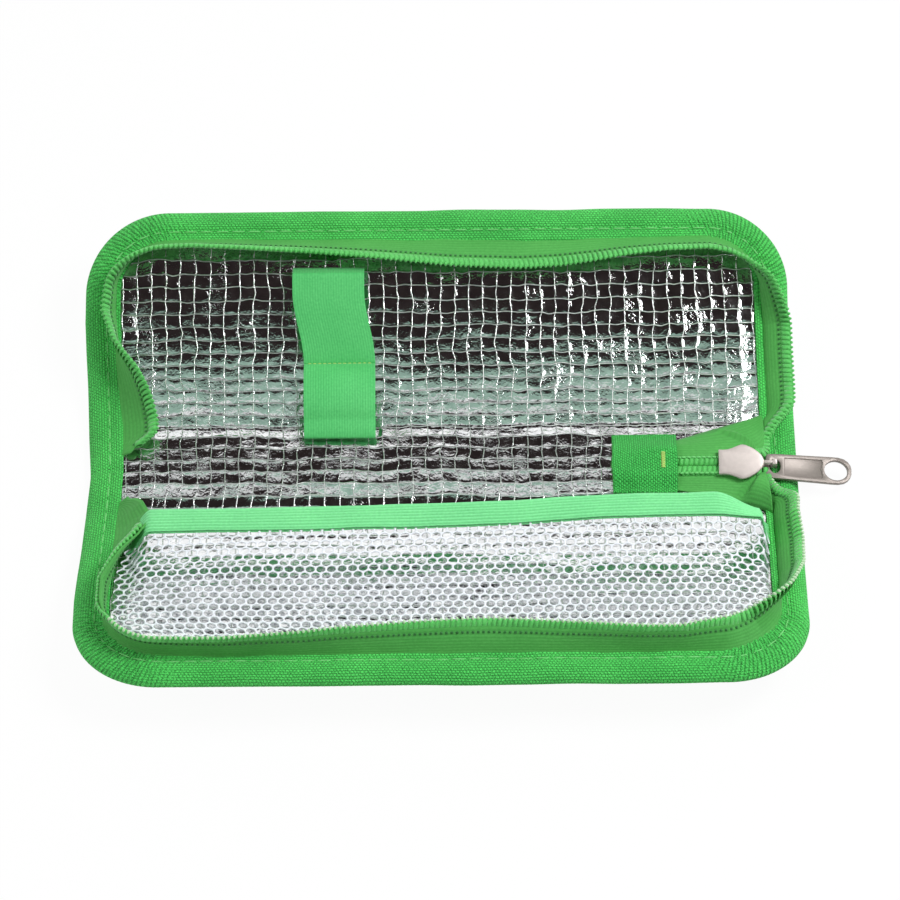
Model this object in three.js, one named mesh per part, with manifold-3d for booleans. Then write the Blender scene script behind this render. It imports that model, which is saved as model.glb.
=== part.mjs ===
import * as THREE from 'three';
import { mergeVertices } from 'three/addons/utils/BufferGeometryUtils.js';
import Module from 'manifold-3d';

const wasm = await Module();
wasm.setup();

// Overall sizes in millimetres
const CASE_LENGTH = 204;
const PANEL_DEPTH = 69;
const SPINE_DEPTH = 29;
const CORNER_RADIUS = 24;
const BASE_TILT = 12.5;
const LID_TILT = 6;
const LID_CURL = 30;

// Layers of the padded panel, from the outer cloth inwards
const CLOTH = 0.9;
const FOAM = 2.9;
const FOIL = 0.5;
const LAYER_GAP = 0.3;
const FOLD_GAP = 0.4;
const LINING_INSET = 11.3;

// Bound edge, a strip of webbing folded over the seam
const BINDING_WIDTH = 9.9;
const BINDING_CLOTH = 0.8;
const BINDING_EDGE = 2.6;
const SEAM_HEIGHT = 5.9;
const MARGIN_CLOTH = 0.6;

// Zipper along the rim
const TAPE = 0.6;
const TAPE_LINE = 10.55;
const TAPE_START = 11;
const TAPE_RISE = 11;
const COIL_HEIGHT = 2;
const COIL_WIDTH = 1.7;
const COIL_PITCH = 3.6;
const CLOSING_GAP = 0.3;
const COIL_SEAT = 0.45;

// Tail of the zipper on the spine
const CHAIN_GAP = 0.9;
const TAIL_LENGTH = 24;
const TAB_LENGTH = 18.5;
const TAB_MARGIN = 5.5;
const TAB_CLOTH = 1.2;
const TAB_FOOT = 1.2;
const TAB_COVER = 2.1;

// Slider and pull
const NOSE_INSET = 10.1;
const SLIDER_LENGTH = 12.9;
const SLIDER_TAIL_WIDTH = 7.4;
const SLIDER_WIDTH = 10.3;
const SLIDER_FLOOR = 6;
const SLIDER_PLATE = 0.9;
const SLIDER_CHANNEL = 2.1;
const POST_WIDTH = 1.2;
const BAIL_REACH = 3.7;
const BAIL_WIDTH = 1.8;
const BAIL_LEG = 1.4;
const PULL_LENGTH = 25;
const PULL_NECK = 6.6;
const PULL_END = 8.3;
const PULL_THICK = 1.2;
const PULL_BAR = 1.2;
const PULL_DROOP = 6;
const SLOT_LENGTH = 4;
const SLOT_WIDTH = 3.4;
const PULL_HOLE_LONG = 7;
const PULL_HOLE_WIDE = 5.4;
const PANEL_RECESS = 0.2;

// Net pocket and its elastic hem
const POCKET_LEFT_INSET = 21;
const POCKET_RIGHT_INSET = 14;
const HEM_WIDTH = 6.9;
const HEM_THICK = 1.2;
const HEM_SETBACK = 10.9;
const HEM_LOW = 14.5;
const HEM_HIGH = 20;
const NET_THICK = 0.8;
const NET_COLUMNS = 27;
const NET_ROWS = 8;
const NET_OPEN = 0.72;

// Elastic strap with two pen loops
const STRAP_WIDTH = 20;
const STRAP_THICK = 1.2;
const STRAP_CENTRE = -32;
const STRAP_SKEW = 3;
const STRAP_RISE = 6.5;
const STRAP_LOW = 6.5;
const STRAP_HIGH = 51;

const STACK = CLOTH + FOAM + FOIL + 2 * LAYER_GAP;
const HALF = CASE_LENGTH / 2;
const SIDE = PANEL_DEPTH - CORNER_RADIUS;
const ARC = CORNER_RADIUS * Math.PI / 2;
const EDGE = CASE_LENGTH - 2 * CORNER_RADIUS;
const RIM = 2 * SIDE + 2 * ARC + EDGE;
const WALL_FOOT = SEAM_HEIGHT + 0.4;
const WALL_REACH = SPINE_DEPTH / 2 - WALL_FOOT - COIL_HEIGHT - COIL_SEAT - CLOSING_GAP;
const CHAIN_HEIGHT = SLIDER_FLOOR + SLIDER_PLATE + SLIDER_CHANNEL / 2;
const NOSE = HALF - NOSE_INSET;
const SLIDER_BACK = NOSE - SLIDER_LENGTH;
const CHAIN_LINE = SPINE_DEPTH / 2;
const TAB_WIDTH = SPINE_DEPTH - 2 * TAB_MARGIN;
const POCKET_LEFT = HALF - POCKET_LEFT_INSET;
const POCKET_RIGHT = HALF - POCKET_RIGHT_INSET;

const rad = THREE.MathUtils.degToRad;
const smooth = THREE.MathUtils.smoothstep;
const lerp = THREE.MathUtils.lerp;

// Places a leaf point: x along the case, t out from the fold, h up from the outer face
const onBase = ([x, t, h]) => [x, -t, h];
const onSpine = ([x, s, h]) => [x, s, h];
const curl = rad(LID_CURL) / PANEL_DEPTH;
const onLid = ([x, t, h]) => {
  const y = Math.sin(curl * t) / curl - h * Math.sin(curl * t);
  const z = (1 - Math.cos(curl * t)) / curl + h * Math.cos(curl * t);
  return [x, y, z];
};

// Half length of a leaf at t, drawn in by an inset, with its two rounded far corners
function halfAt(t, inset) {
  const radius = CORNER_RADIUS - inset;
  const d = THREE.MathUtils.clamp(t - SIDE, 0, radius);
  return HALF - CORNER_RADIUS + Math.sqrt(radius * radius - d * d);
}

// Rim of a leaf by running length, from the left end of the fold to the right end
function rimPoint(run) {
  if (run <= SIDE) {
    return { p: [-HALF, run], n: [1, 0] };
  }
  if (run <= SIDE + ARC) {
    const a = (run - SIDE) / CORNER_RADIUS;
    const c = [-HALF + CORNER_RADIUS, SIDE];
    const p = [c[0] - CORNER_RADIUS * Math.cos(a), c[1] + CORNER_RADIUS * Math.sin(a)];
    return { p, n: [Math.cos(a), -Math.sin(a)] };
  }
  if (run <= SIDE + ARC + EDGE) {
    return { p: [-HALF + CORNER_RADIUS + run - SIDE - ARC, PANEL_DEPTH], n: [0, -1] };
  }
  if (run <= SIDE + 2 * ARC + EDGE) {
    const a = (run - SIDE - ARC - EDGE) / CORNER_RADIUS;
    const c = [HALF - CORNER_RADIUS, SIDE];
    const p = [c[0] + CORNER_RADIUS * Math.sin(a), c[1] + CORNER_RADIUS * Math.cos(a)];
    return { p, n: [-Math.sin(a), -Math.cos(a)] };
  }
  return { p: [HALF, RIM - run], n: [-1, 0] };
}

// Running lengths used by the bound edge and the tape
function rimStations(start, sideSteps) {
  const runs = [];
  const span = (from, to, count) => {
    for (let i = 0; i < count; i += 1) {
      runs.push(lerp(from, to, i / count));
    }
  };
  span(start, SIDE, sideSteps);
  span(SIDE, SIDE + ARC, 7);
  span(SIDE + ARC, SIDE + ARC + EDGE, 6);
  span(SIDE + ARC + EDGE, SIDE + 2 * ARC + EDGE, 7);
  span(SIDE + 2 * ARC + EDGE, RIM - start, sideSteps);
  runs.push(RIM - start);
  return runs;
}

// Reads a value from keys of [share of the rim, value], eased between them
function keyed(keys, share) {
  let i = 0;
  while (i < keys.length - 2 && share > keys[i + 1][0]) {
    i += 1;
  }
  const [a, va] = keys[i];
  const [b, vb] = keys[i + 1];
  return lerp(va, vb, smooth(share, a, b));
}

const baseLean = [
  [0, 20], [0.04, 40], [0.1, 5], [0.25, 0], [0.75, 0],
  [0.84, -10], [0.9, -55], [0.96, -55], [1, -30],
];
const lidLean = [
  [0, 25], [0.04, 50], [0.1, 0], [0.25, 5], [0.5, 15],
  [0.7, 22], [0.8, 0], [0.88, -55], [0.96, -55], [1, -30],
];

const area2 = (poly) => poly.reduce((sum, p, i) => {
  const q = poly[(i + 1) % poly.length];
  return sum + p[0] * q[1] - q[0] * p[1];
}, 0);

// End faces of a section, turned the same way round as the section itself
function capFaces(section) {
  const points = section.map((p) => new THREE.Vector2(p[0], p[1]));
  const turn = Math.sign(area2(section));
  return THREE.ShapeUtils.triangulateShape(points, []).map(([a, b, c]) => {
    const way = Math.sign(area2([section[a], section[b], section[c]]));
    return way === turn ? [a, b, c] : [a, c, b];
  });
}

function solid(points, faces) {
  let volume = 0;
  const a = new THREE.Vector3();
  const b = new THREE.Vector3();
  const c = new THREE.Vector3();
  for (const [i, j, k] of faces) {
    a.fromArray(points[i]);
    b.fromArray(points[j]);
    c.fromArray(points[k]);
    volume += a.dot(b.cross(c));
  }
  const turned = volume < 0 ? faces.map(([i, j, k]) => [i, k, j]) : faces;
  const geometry = new THREE.BufferGeometry();
  geometry.setAttribute('position', new THREE.Float32BufferAttribute(points.flat(), 3));
  geometry.setIndex(turned.flat());
  geometry.computeVertexNormals();
  return geometry;
}

// Skins a row of equal rings and closes both ends
function loft(rings, section) {
  const count = rings[0].length;
  const faces = [];
  for (let i = 0; i < rings.length - 1; i += 1) {
    for (let j = 0; j < count; j += 1) {
      const k = (j + 1) % count;
      const [a, b] = [i * count + j, i * count + k];
      const [c, d] = [(i + 1) * count + k, (i + 1) * count + j];
      faces.push([a, b, c], [a, c, d]);
    }
  }
  const last = (rings.length - 1) * count;
  for (const [a, b, c] of capFaces(section)) {
    faces.push([a, c, b], [last + a, last + b, last + c]);
  }
  return solid(rings.flat(), faces);
}

// Rows across a flat layer of a leaf; the fold end is bevelled so the fold can close
function leafRows(inset) {
  const radius = CORNER_RADIUS - inset;
  const rows = [0, 14, 28, SIDE];
  for (const a of [25, 50, 70, 90]) {
    rows.push(SIDE + radius * Math.sin(rad(a)));
  }
  return rows;
}

function leafLayer(place, inset, low, high) {
  const box = [[-1, low], [1, low], [1, high], [-1, high]];
  const rings = leafRows(inset).map((t, row) => box.map(([side, h]) => {
    const out = row === 0 ? h + FOLD_GAP : t;
    return place([side * halfAt(t, inset), out, h]);
  }));
  return loft(rings, box);
}

// Outer cloth of a leaf: a flat floor whose margin steps up into the bound edge
function leafCloth(place) {
  const tuck = BINDING_CLOTH + LAYER_GAP;
  const reach = BINDING_WIDTH - 0.2;
  const edge = 2.2;
  const radius = CORNER_RADIUS - reach;
  const far = PANEL_DEPTH - reach;
  const rows = [[0, 0], [14, 0], [28, 0], [SIDE, 0]];
  for (const a of [30, 55]) {
    rows.push([SIDE + radius * Math.sin(rad(a)), 0]);
  }
  rows.push([far - tuck, 0], [far, tuck]);
  rows.push([lerp(far, PANEL_DEPTH - edge, 0.5), tuck], [PANEL_DEPTH - edge, tuck]);
  const rings = rows.map(([t, lift], row) => {
    const wide = halfAt(t, edge);
    const mid = Math.min(halfAt(t, reach), wide - 1);
    const flat = mid - tuck;
    const top = lift + (lift > 0 ? MARGIN_CLOTH : CLOTH);
    const ring = [
      [-wide, tuck], [-mid, tuck], [-flat, lift], [flat, lift], [mid, tuck], [wide, tuck],
      [wide, tuck + MARGIN_CLOTH], [mid, tuck + MARGIN_CLOTH], [flat, top],
      [-flat, top], [-mid, tuck + MARGIN_CLOTH], [-wide, tuck + MARGIN_CLOTH],
    ];
    return ring.map(([x, h]) => place([x, row === 0 ? h + FOLD_GAP : t, h]));
  });
  const section = [
    [-9, 2], [-8, 2], [-7, 0], [7, 0], [8, 2], [9, 2],
    [9, 3], [8, 3], [7, 1], [-7, 1], [-8, 3], [-9, 3],
  ];
  return loft(rings, section);
}

// Section of the bound edge: u in from the outer edge, h up
const slope = (SEAM_HEIGHT - BINDING_EDGE) / (BINDING_WIDTH - 0.35);
const under = (u) => BINDING_EDGE + slope * (u - 0.35) - BINDING_CLOTH;
const bindingSection = [
  [BINDING_WIDTH - 0.5, 0], [0.9, 0], [0, 1], [0.35, BINDING_EDGE], [BINDING_WIDTH, SEAM_HEIGHT],
  [BINDING_WIDTH, under(BINDING_WIDTH)], [1.5, under(1.5)], [1.5, BINDING_CLOTH],
  [BINDING_WIDTH - 0.5, BINDING_CLOTH],
];

function leafBinding(place) {
  const runs = rimStations(0, 4);
  const rings = runs.map((run, i) => bindingSection.map(([u, h]) => {
    const { p, n } = rimPoint(run);
    const end = i === 0 || i === runs.length - 1;
    const t = end ? h + FOLD_GAP : p[1] + n[1] * u;
    return place([p[0] + n[0] * u, t, h]);
  }));
  return loft(rings, bindingSection);
}

// Zipper tape: a flange inside the bound edge and a wall that leans as the soft rim does
function wallReach(run) {
  const near = Math.min(run, RIM - run) - TAPE_START;
  return lerp(0.4, WALL_REACH, smooth(near, 0, TAPE_RISE));
}

function tapeSection(run, lean) {
  const a = rad(keyed(lean, run / RIM));
  const reach = wallReach(run);
  const half = TAPE / 2;
  const top = [TAPE_LINE + reach * Math.sin(a), WALL_FOOT + reach * Math.cos(a)];
  const flange = under(4.6) - LAYER_GAP;
  return [
    [4.6, flange], [TAPE_LINE - half, under(TAPE_LINE - half) - LAYER_GAP], [TAPE_LINE - half, WALL_FOOT],
    [top[0] - half * Math.cos(a), top[1] + half * Math.sin(a)],
    [top[0] + half * Math.cos(a), top[1] - half * Math.sin(a)],
    [TAPE_LINE + half, WALL_FOOT], [TAPE_LINE + half, under(TAPE_LINE + half) - LAYER_GAP - TAPE],
    [4.6, flange - TAPE],
  ];
}

function onRim(place, run, section) {
  const { p, n } = rimPoint(run);
  return section.map(([u, h]) => place([p[0] + n[0] * u, p[1] + n[1] * u, h]));
}

function leafTape(place, lean) {
  const rings = rimStations(TAPE_START, 10).map((run) => onRim(place, run, tapeSection(run, lean)));
  return loft(rings, tapeSection(RIM / 2, lean));
}

// Zipper coil: a ribbed cord that rides on the free edge of the tape
function leafCoil(place, lean) {
  const start = TAPE_START + 2;
  const steps = 2 * Math.round((RIM - 2 * start) / COIL_PITCH);
  const rings = [];
  for (let i = 0; i <= steps; i += 1) {
    const run = lerp(start, RIM - start, i / steps);
    const a = rad(keyed(lean, run / RIM));
    const full = i % 2 === 0 ? 1 : 0.7;
    const mid = wallReach(run) + COIL_SEAT + COIL_HEIGHT / 2;
    const up = full * COIL_HEIGHT / 2;
    const wide = full * COIL_WIDTH / 2;
    const section = [[-1, -1], [1, -1], [1, 1], [-1, 1]].map(([v, w]) => [
      TAPE_LINE + (mid + w * up) * Math.sin(a) + v * wide * Math.cos(a),
      WALL_FOOT + (mid + w * up) * Math.cos(a) - v * wide * Math.sin(a),
    ]);
    rings.push(onRim(place, run, section));
  }
  return loft(rings, [[-1, -1], [1, -1], [1, 1], [-1, 1]]);
}

// Net pocket: hem line, then a bulged sheet that runs down to the seam under the zipper
const hemSetback = (x) => HEM_SETBACK + 1.3 * smooth(-x, 0, POCKET_LEFT);
const hemHeight = (x) => {
  const rise = lerp(HEM_LOW, HEM_HIGH, smooth(x, -POCKET_LEFT, 0.8 * POCKET_RIGHT));
  return lerp(rise, STACK + 3.4, smooth(x, 0.8 * POCKET_RIGHT, POCKET_RIGHT));
};

function hemPoint(x, across, over) {
  return [x, hemSetback(x) + across, hemHeight(x) - 0.22 * across - over];
}

function pocketHem() {
  const box = [[0, HEM_THICK], [HEM_WIDTH, HEM_THICK], [HEM_WIDTH, 0], [0, 0]];
  const rings = [];
  for (let i = 0; i <= 22; i += 1) {
    const x = lerp(-POCKET_LEFT, POCKET_RIGHT, i / 22);
    rings.push(box.map(([across, over]) => onBase(hemPoint(x, across, over))));
  }
  return loft(rings, box);
}

function netPoint(a, b, under) {
  const far = PANEL_DEPTH - TAPE_LINE - 2.4;
  const drawn = Math.min(1, halfAt(lerp(30, far, b), TAPE_LINE + 2.2) / POCKET_RIGHT);
  const x = lerp(-POCKET_LEFT * Math.min(1, drawn * 1.05), POCKET_RIGHT * drawn, a);
  const top = hemPoint(x, HEM_WIDTH + LAYER_GAP, 0);
  const low = STACK + 1.2;
  const crest = Math.max(top[2], low);
  const side = smooth(a, 0, 0.06) * smooth(1 - a, 0, 0.06);
  const fall = 1 - b * b * b * b;
  const h = lerp(low, lerp(Math.min(crest, low + 3), crest, lerp(1, side, smooth(b, 0, 0.2))), fall);
  return onBase([x, lerp(top[1], far, b), h - under]);
}

// Lattice of diamond gaps with solid half gaps along the border
function pocketNet() {
  const points = [];
  const faces = [];
  const columns = 2 * NET_COLUMNS;
  const put = (i, j) => {
    points.push(netPoint(i / columns, j / NET_ROWS, 0), netPoint(i / columns, j / NET_ROWS, NET_THICK));
    return points.length - 2;
  };
  const knots = new Map();
  const knot = (i, j) => {
    const key = i + ',' + j;
    if (!knots.has(key)) {
      knots.set(key, put(i, j));
    }
    return knots.get(key);
  };
  const skin = (ring) => {
    for (let k = 1; k < ring.length - 1; k += 1) {
      faces.push([ring[0], ring[k], ring[k + 1]], [ring[0] + 1, ring[k + 1] + 1, ring[k] + 1]);
    }
  };
  const wall = (a, b) => faces.push([b, a, a + 1], [b, a + 1, b + 1]);
  for (let j = 0; j <= NET_ROWS; j += 1) {
    for (let i = 0; i <= columns; i += 1) {
      if ((i + j) % 2 === 0) {
        continue;
      }
      const round = [[i - 1, j], [i, j - 1], [i + 1, j], [i, j + 1]];
      const inside = round.map(([p, q]) => p >= 0 && q >= 0 && p <= columns && q <= NET_ROWS);
      const corners = round.filter((c, k) => inside[k]).map(([p, q]) => knot(p, q));
      if (corners.length === 4) {
        const hole = round.map(([p, q]) => put(lerp(i, p, NET_OPEN), lerp(j, q, NET_OPEN)));
        for (let k = 0; k < 4; k += 1) {
          const m = (k + 1) % 4;
          skin([corners[k], corners[m], hole[m], hole[k]]);
          wall(hole[m], hole[k]);
        }
      } else {
        const gone = inside.indexOf(false);
        const ring = [1, 2, 3].map((k) => knot(...round[(gone + k) % 4]));
        skin(ring);
        wall(ring[2], ring[0]);
      }
    }
  }
  return solid(points, faces);
}

// Elastic strap sewn flat at three places, so that it stands off in two loops
function penLoops() {
  const box = [[-1, 0], [1, 0], [1, STRAP_THICK], [-1, STRAP_THICK]];
  const rings = [];
  for (let i = 0; i <= 20; i += 1) {
    const share = i / 20;
    const t = lerp(STRAP_LOW, STRAP_HIGH, share);
    const middle = STRAP_CENTRE + lerp(STRAP_SKEW / 2, -STRAP_SKEW / 2, share);
    const lift = STACK + LAYER_GAP + STRAP_RISE * Math.pow(Math.abs(Math.sin(2 * Math.PI * share)), 0.7);
    rings.push(box.map(([side, up]) => onLid([middle + side * STRAP_WIDTH / 2, t, lift + up])));
  }
  return loft(rings, box);
}

// Spine layers, bevelled along both folds
function spineStrip(section) {
  const ends = [(h) => h + FOLD_GAP, (h) => SPINE_DEPTH - FOLD_GAP - h];
  return loft(ends.map((end) => section.map(([x, h]) => onSpine([x, end(h), h]))), section);
}

function spineLayer(inset, low, high) {
  const wide = HALF - inset;
  return spineStrip([[-wide, low], [wide, low], [wide, high], [-wide, high]]);
}

function spineCloth() {
  const tuck = BINDING_CLOTH + LAYER_GAP;
  const wide = HALF - 2.2;
  const mid = HALF - BINDING_WIDTH + 0.2;
  const flat = mid - tuck;
  return spineStrip([
    [-wide, tuck], [-mid, tuck], [-flat, 0], [flat, 0], [mid, tuck], [wide, tuck],
    [wide, tuck + MARGIN_CLOTH], [mid, tuck + MARGIN_CLOTH], [flat, CLOTH],
    [-flat, CLOTH], [-mid, tuck + MARGIN_CLOTH], [-wide, tuck + MARGIN_CLOTH],
  ]);
}

function spineBinding(side) {
  return spineStrip(bindingSection.map(([u, h]) => [side * (HALF - u), h]));
}

// Tail of the zipper, one half each side of the chain line
const TAIL_END = SLIDER_BACK + 1.5;

function tailCoil(side) {
  const box = [[-1, -1], [1, -1], [1, 1], [-1, 1]];
  const steps = 2 * Math.round(TAIL_LENGTH / COIL_PITCH);
  const middle = CHAIN_LINE + side * (CHAIN_GAP + COIL_WIDTH / 2);
  const rings = [];
  for (let i = 0; i <= steps; i += 1) {
    const x = TAIL_END - TAIL_LENGTH * (1 - i / steps);
    const full = i % 2 === 0 ? 1 : 0.7;
    rings.push(box.map(([v, w]) => [
      x, middle + v * full * COIL_WIDTH / 2, CHAIN_HEIGHT + w * full * COIL_WIDTH / 2,
    ]));
  }
  return loft(rings, box);
}

function tailTape(side) {
  const near = CHAIN_GAP + COIL_WIDTH + LAYER_GAP;
  const far = TAB_WIDTH / 2 - TAB_COVER;
  const knee = lerp(near, far, 0.65);
  const foot = STACK + LAYER_GAP + 0.4;
  const half = TAPE / 2;
  const section = [
    [near, CHAIN_HEIGHT - half], [knee, CHAIN_HEIGHT - half], [far, foot], [far, foot + TAPE],
    [knee, CHAIN_HEIGHT + half], [near, CHAIN_HEIGHT + half],
  ];
  const ends = [TAIL_END - TAIL_LENGTH, TAIL_END];
  return loft(ends.map((x) => section.map(([v, h]) => [x, CHAIN_LINE + side * v, h])), section);
}

// Webbing tab that bridges the end of the zipper tail
function endTab() {
  const roof = CHAIN_HEIGHT + COIL_WIDTH / 2 + LAYER_GAP;
  const foot = STACK + LAYER_GAP;
  const half = TAB_WIDTH / 2;
  const inner = half - TAB_FOOT;
  const reach = half - TAB_COVER - 1;
  const under = [[-half, foot], [-inner, foot], [-reach, roof], [reach, roof], [inner, foot], [half, foot]];
  const over = under.slice().reverse().map(([v, h]) => [v, h + TAB_CLOTH]);
  const section = [...under, ...over];
  const right = SLIDER_BACK - 10.6;
  const ends = [right - TAB_LENGTH, right];
  return loft(ends.map((x) => section.map(([v, h]) => [x, CHAIN_LINE + v, h])), section);
}

// Booleans for the two metal pieces
function toManifold(geometry) {
  const bare = geometry.clone();
  bare.deleteAttribute('uv');
  bare.deleteAttribute('normal');
  const joined = mergeVertices(bare, 1e-4);
  const mesh = new wasm.Mesh({
    numProp: 3,
    vertProperties: new Float32Array(joined.attributes.position.array),
    triVerts: new Uint32Array(joined.index.array),
  });
  return new wasm.Manifold(mesh);
}

function fromManifold(body) {
  const mesh = body.getMesh();
  const geometry = new THREE.BufferGeometry();
  geometry.setAttribute('position', new THREE.Float32BufferAttribute(mesh.vertProperties, 3));
  geometry.setIndex(Array.from(mesh.triVerts));
  geometry.computeVertexNormals();
  return geometry;
}

const block = (x, y, z, wide, deep, tall) => {
  const geometry = new THREE.BoxGeometry(wide, deep, tall);
  geometry.translate(x, y, z);
  return toManifold(geometry);
};

function slab(shape, low, high, bevel, segments) {
  const geometry = new THREE.ExtrudeGeometry(shape, {
    depth: high - low - 2 * bevel,
    bevelEnabled: bevel > 0,
    bevelThickness: bevel,
    bevelSize: bevel,
    bevelOffset: -bevel,
    bevelSegments: 1,
    curveSegments: segments,
  });
  geometry.translate(0, 0, low + bevel);
  return toManifold(geometry);
}

// Slider: two plates, a post between them, turned-in lips and a bail at the nose
function sliderBody() {
  const tail = SLIDER_TAIL_WIDTH / 2;
  const wide = SLIDER_WIDTH / 2;
  const shoulder = NOSE - 0.42 * SLIDER_LENGTH;
  const plan = new THREE.Shape();
  plan.moveTo(SLIDER_BACK, -tail);
  plan.lineTo(SLIDER_BACK + 0.3 * SLIDER_LENGTH, -tail);
  plan.quadraticCurveTo(shoulder - 2, -wide, shoulder, -wide);
  plan.bezierCurveTo(NOSE - 2.2, -wide, NOSE, -wide + 1.6, NOSE, -1.6);
  plan.lineTo(NOSE, 1.6);
  plan.bezierCurveTo(NOSE, wide - 1.6, NOSE - 2.2, wide, shoulder, wide);
  plan.quadraticCurveTo(shoulder - 2, wide, SLIDER_BACK + 0.3 * SLIDER_LENGTH, tail);
  plan.lineTo(SLIDER_BACK, tail);
  plan.closePath();
  const roof = SLIDER_FLOOR + 2 * SLIDER_PLATE + SLIDER_CHANNEL;
  const ceiling = roof - SLIDER_PLATE;
  const floor = SLIDER_FLOOR + SLIDER_PLATE;
  const middle = (SLIDER_FLOOR + roof) / 2;
  const lip = SLIDER_CHANNEL / 2 - TAPE / 2 - LAYER_GAP;
  let body = slab(plan, SLIDER_FLOOR, floor, 0.2, 5);
  body = body.add(slab(plan, ceiling, roof, 0.2, 5));
  body = body.add(block(NOSE - 3.2, 0, middle, 6, POST_WIDTH, SLIDER_CHANNEL + 0.6));
  for (const side of [-1, 1]) {
    const v = side * (tail - 0.45);
    body = body.add(block(SLIDER_BACK + 2.3, v, floor + lip / 2 - 0.1, 4, 0.5, lip + 0.2));
    body = body.add(block(SLIDER_BACK + 2.3, v, ceiling - lip / 2 + 0.1, 4, 0.5, lip + 0.2));
  }
  const arm = BAIL_REACH + 0.6;
  const tip = NOSE + BAIL_REACH;
  for (const h of [SLIDER_FLOOR + 0.4, roof - 0.4]) {
    body = body.add(block(tip - arm / 2, 0, h, arm, BAIL_WIDTH, 0.8));
  }
  body = body.add(block(tip - BAIL_LEG / 2, 0, middle, BAIL_LEG, BAIL_WIDTH, roof - SLIDER_FLOOR));
  return fromManifold(body);
}

// Ends of the parted zipper that leave the slider's nose
function leadCoil(side, reach) {
  const box = [[-1, -1], [1, -1], [1, 1], [-1, 1]];
  const curve = new THREE.CatmullRomCurve3([
    new THREE.Vector3(NOSE - 2.3, side * 3.2, CHAIN_HEIGHT),
    new THREE.Vector3(NOSE - 0.7, side * 4.9, CHAIN_HEIGHT),
    new THREE.Vector3(NOSE + 1.2, side * (reach - 0.5), CHAIN_HEIGHT),
    new THREE.Vector3(NOSE + 4, side * reach, CHAIN_HEIGHT),
  ]);
  const rings = [];
  for (let i = 0; i <= 8; i += 1) {
    const p = curve.getPointAt(i / 8);
    const d = curve.getTangentAt(i / 8);
    const full = (i % 2 === 0 ? 1 : 0.7) * COIL_WIDTH / 2;
    rings.push(box.map(([v, w]) => [p.x - d.y * v * full, p.y + d.x * v * full, p.z + w * full]));
  }
  return loft(rings, box);
}

// Pull: a flat tongue with a slot for the bail, a bare sunk panel and an oval hole
function pullTab() {
  const neck = PULL_NECK / 2;
  const end = PULL_END / 2;
  const back = -PULL_BAR / 2;
  const tip = back + PULL_LENGTH;
  const half = PULL_THICK / 2;
  const plan = new THREE.Shape();
  plan.moveTo(back, -neck + 1);
  plan.quadraticCurveTo(back, -neck, back + 1, -neck);
  plan.lineTo(tip - end - 1, -end);
  plan.bezierCurveTo(tip - 1, -end, tip, -end + 1.6, tip, 0);
  plan.bezierCurveTo(tip, end - 1.6, tip - 1, end, tip - end - 1, end);
  plan.lineTo(back + 1, neck);
  plan.quadraticCurveTo(back, neck, back, neck - 1);
  plan.closePath();
  let body = slab(plan, -half, half, 0.2, 5);
  const eye = back + PULL_BAR + SLOT_LENGTH / 2;
  body = body.subtract(block(eye, 0, 0, SLOT_LENGTH, SLOT_WIDTH, 2 * PULL_THICK));
  const hole = new THREE.Shape();
  const centre = tip - 1.3 - PULL_HOLE_LONG / 2;
  hole.absellipse(centre, 0, PULL_HOLE_LONG / 2, PULL_HOLE_WIDE / 2, 0, 2 * Math.PI);
  body = body.subtract(slab(hole, -PULL_THICK, PULL_THICK, 0, 9));
  const from = back + PULL_BAR + SLOT_LENGTH + 1.4;
  const to = tip - 1.3 - PULL_HOLE_LONG - 1.2;
  for (const side of [-1, 1]) {
    const sunk = block((from + to) / 2, 0, side * half, to - from, PULL_NECK - 2.2, 2 * PANEL_RECESS);
    body = body.subtract(sunk);
  }
  return fromManifold(body);
}

const paint = {
  cloth: [0x66c420, 0.9, 0],
  webbing: [0x74cf2c, 0.85, 0],
  foam: [0xf2f0e8, 0.95, 0],
  foil: [0xc9ccd0, 0.25, 1],
  tape: [0x8fdc4a, 0.8, 0],
  coil: [0x7fd03a, 0.5, 0],
  net: [0xf4f6f2, 0.7, 0],
  elastic: [0x6fca30, 0.85, 0],
  hem: [0xa5dd74, 0.85, 0],
  metal: [0xd8d2cc, 0.25, 1],
};

function node(name, geometry, look) {
  const [color, roughness, metalness] = paint[look];
  const mesh = new THREE.Mesh(geometry, new THREE.MeshStandardMaterial({ color, roughness, metalness }));
  mesh.name = name;
  return mesh;
}

const padLow = CLOTH + LAYER_GAP;
const padHigh = padLow + FOAM;
const leafNodes = (name, place, lean) => [
  node(name + '_outer_panel', leafCloth(place), 'cloth'),
  node(name + '_foam_pad', leafLayer(place, LINING_INSET, padLow, padHigh), 'foam'),
  node(name + '_foil_lining', leafLayer(place, LINING_INSET, STACK - FOIL, STACK), 'foil'),
  node(name + '_binding', leafBinding(place), 'webbing'),
  node(name + '_zipper_tape', leafTape(place, lean), 'tape'),
  node(name + '_zipper_coil', leafCoil(place, lean), 'coil'),
];

const group = new THREE.Group();
group.name = 'insulin_cooling_case';

const base = new THREE.Group();
base.name = 'base';
base.rotation.x = -rad(BASE_TILT);
base.add(...leafNodes('base', onBase, baseLean));
base.add(node('mesh_pocket', pocketNet(), 'net'));
base.add(node('pocket_elastic_hem', pocketHem(), 'hem'));

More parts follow.
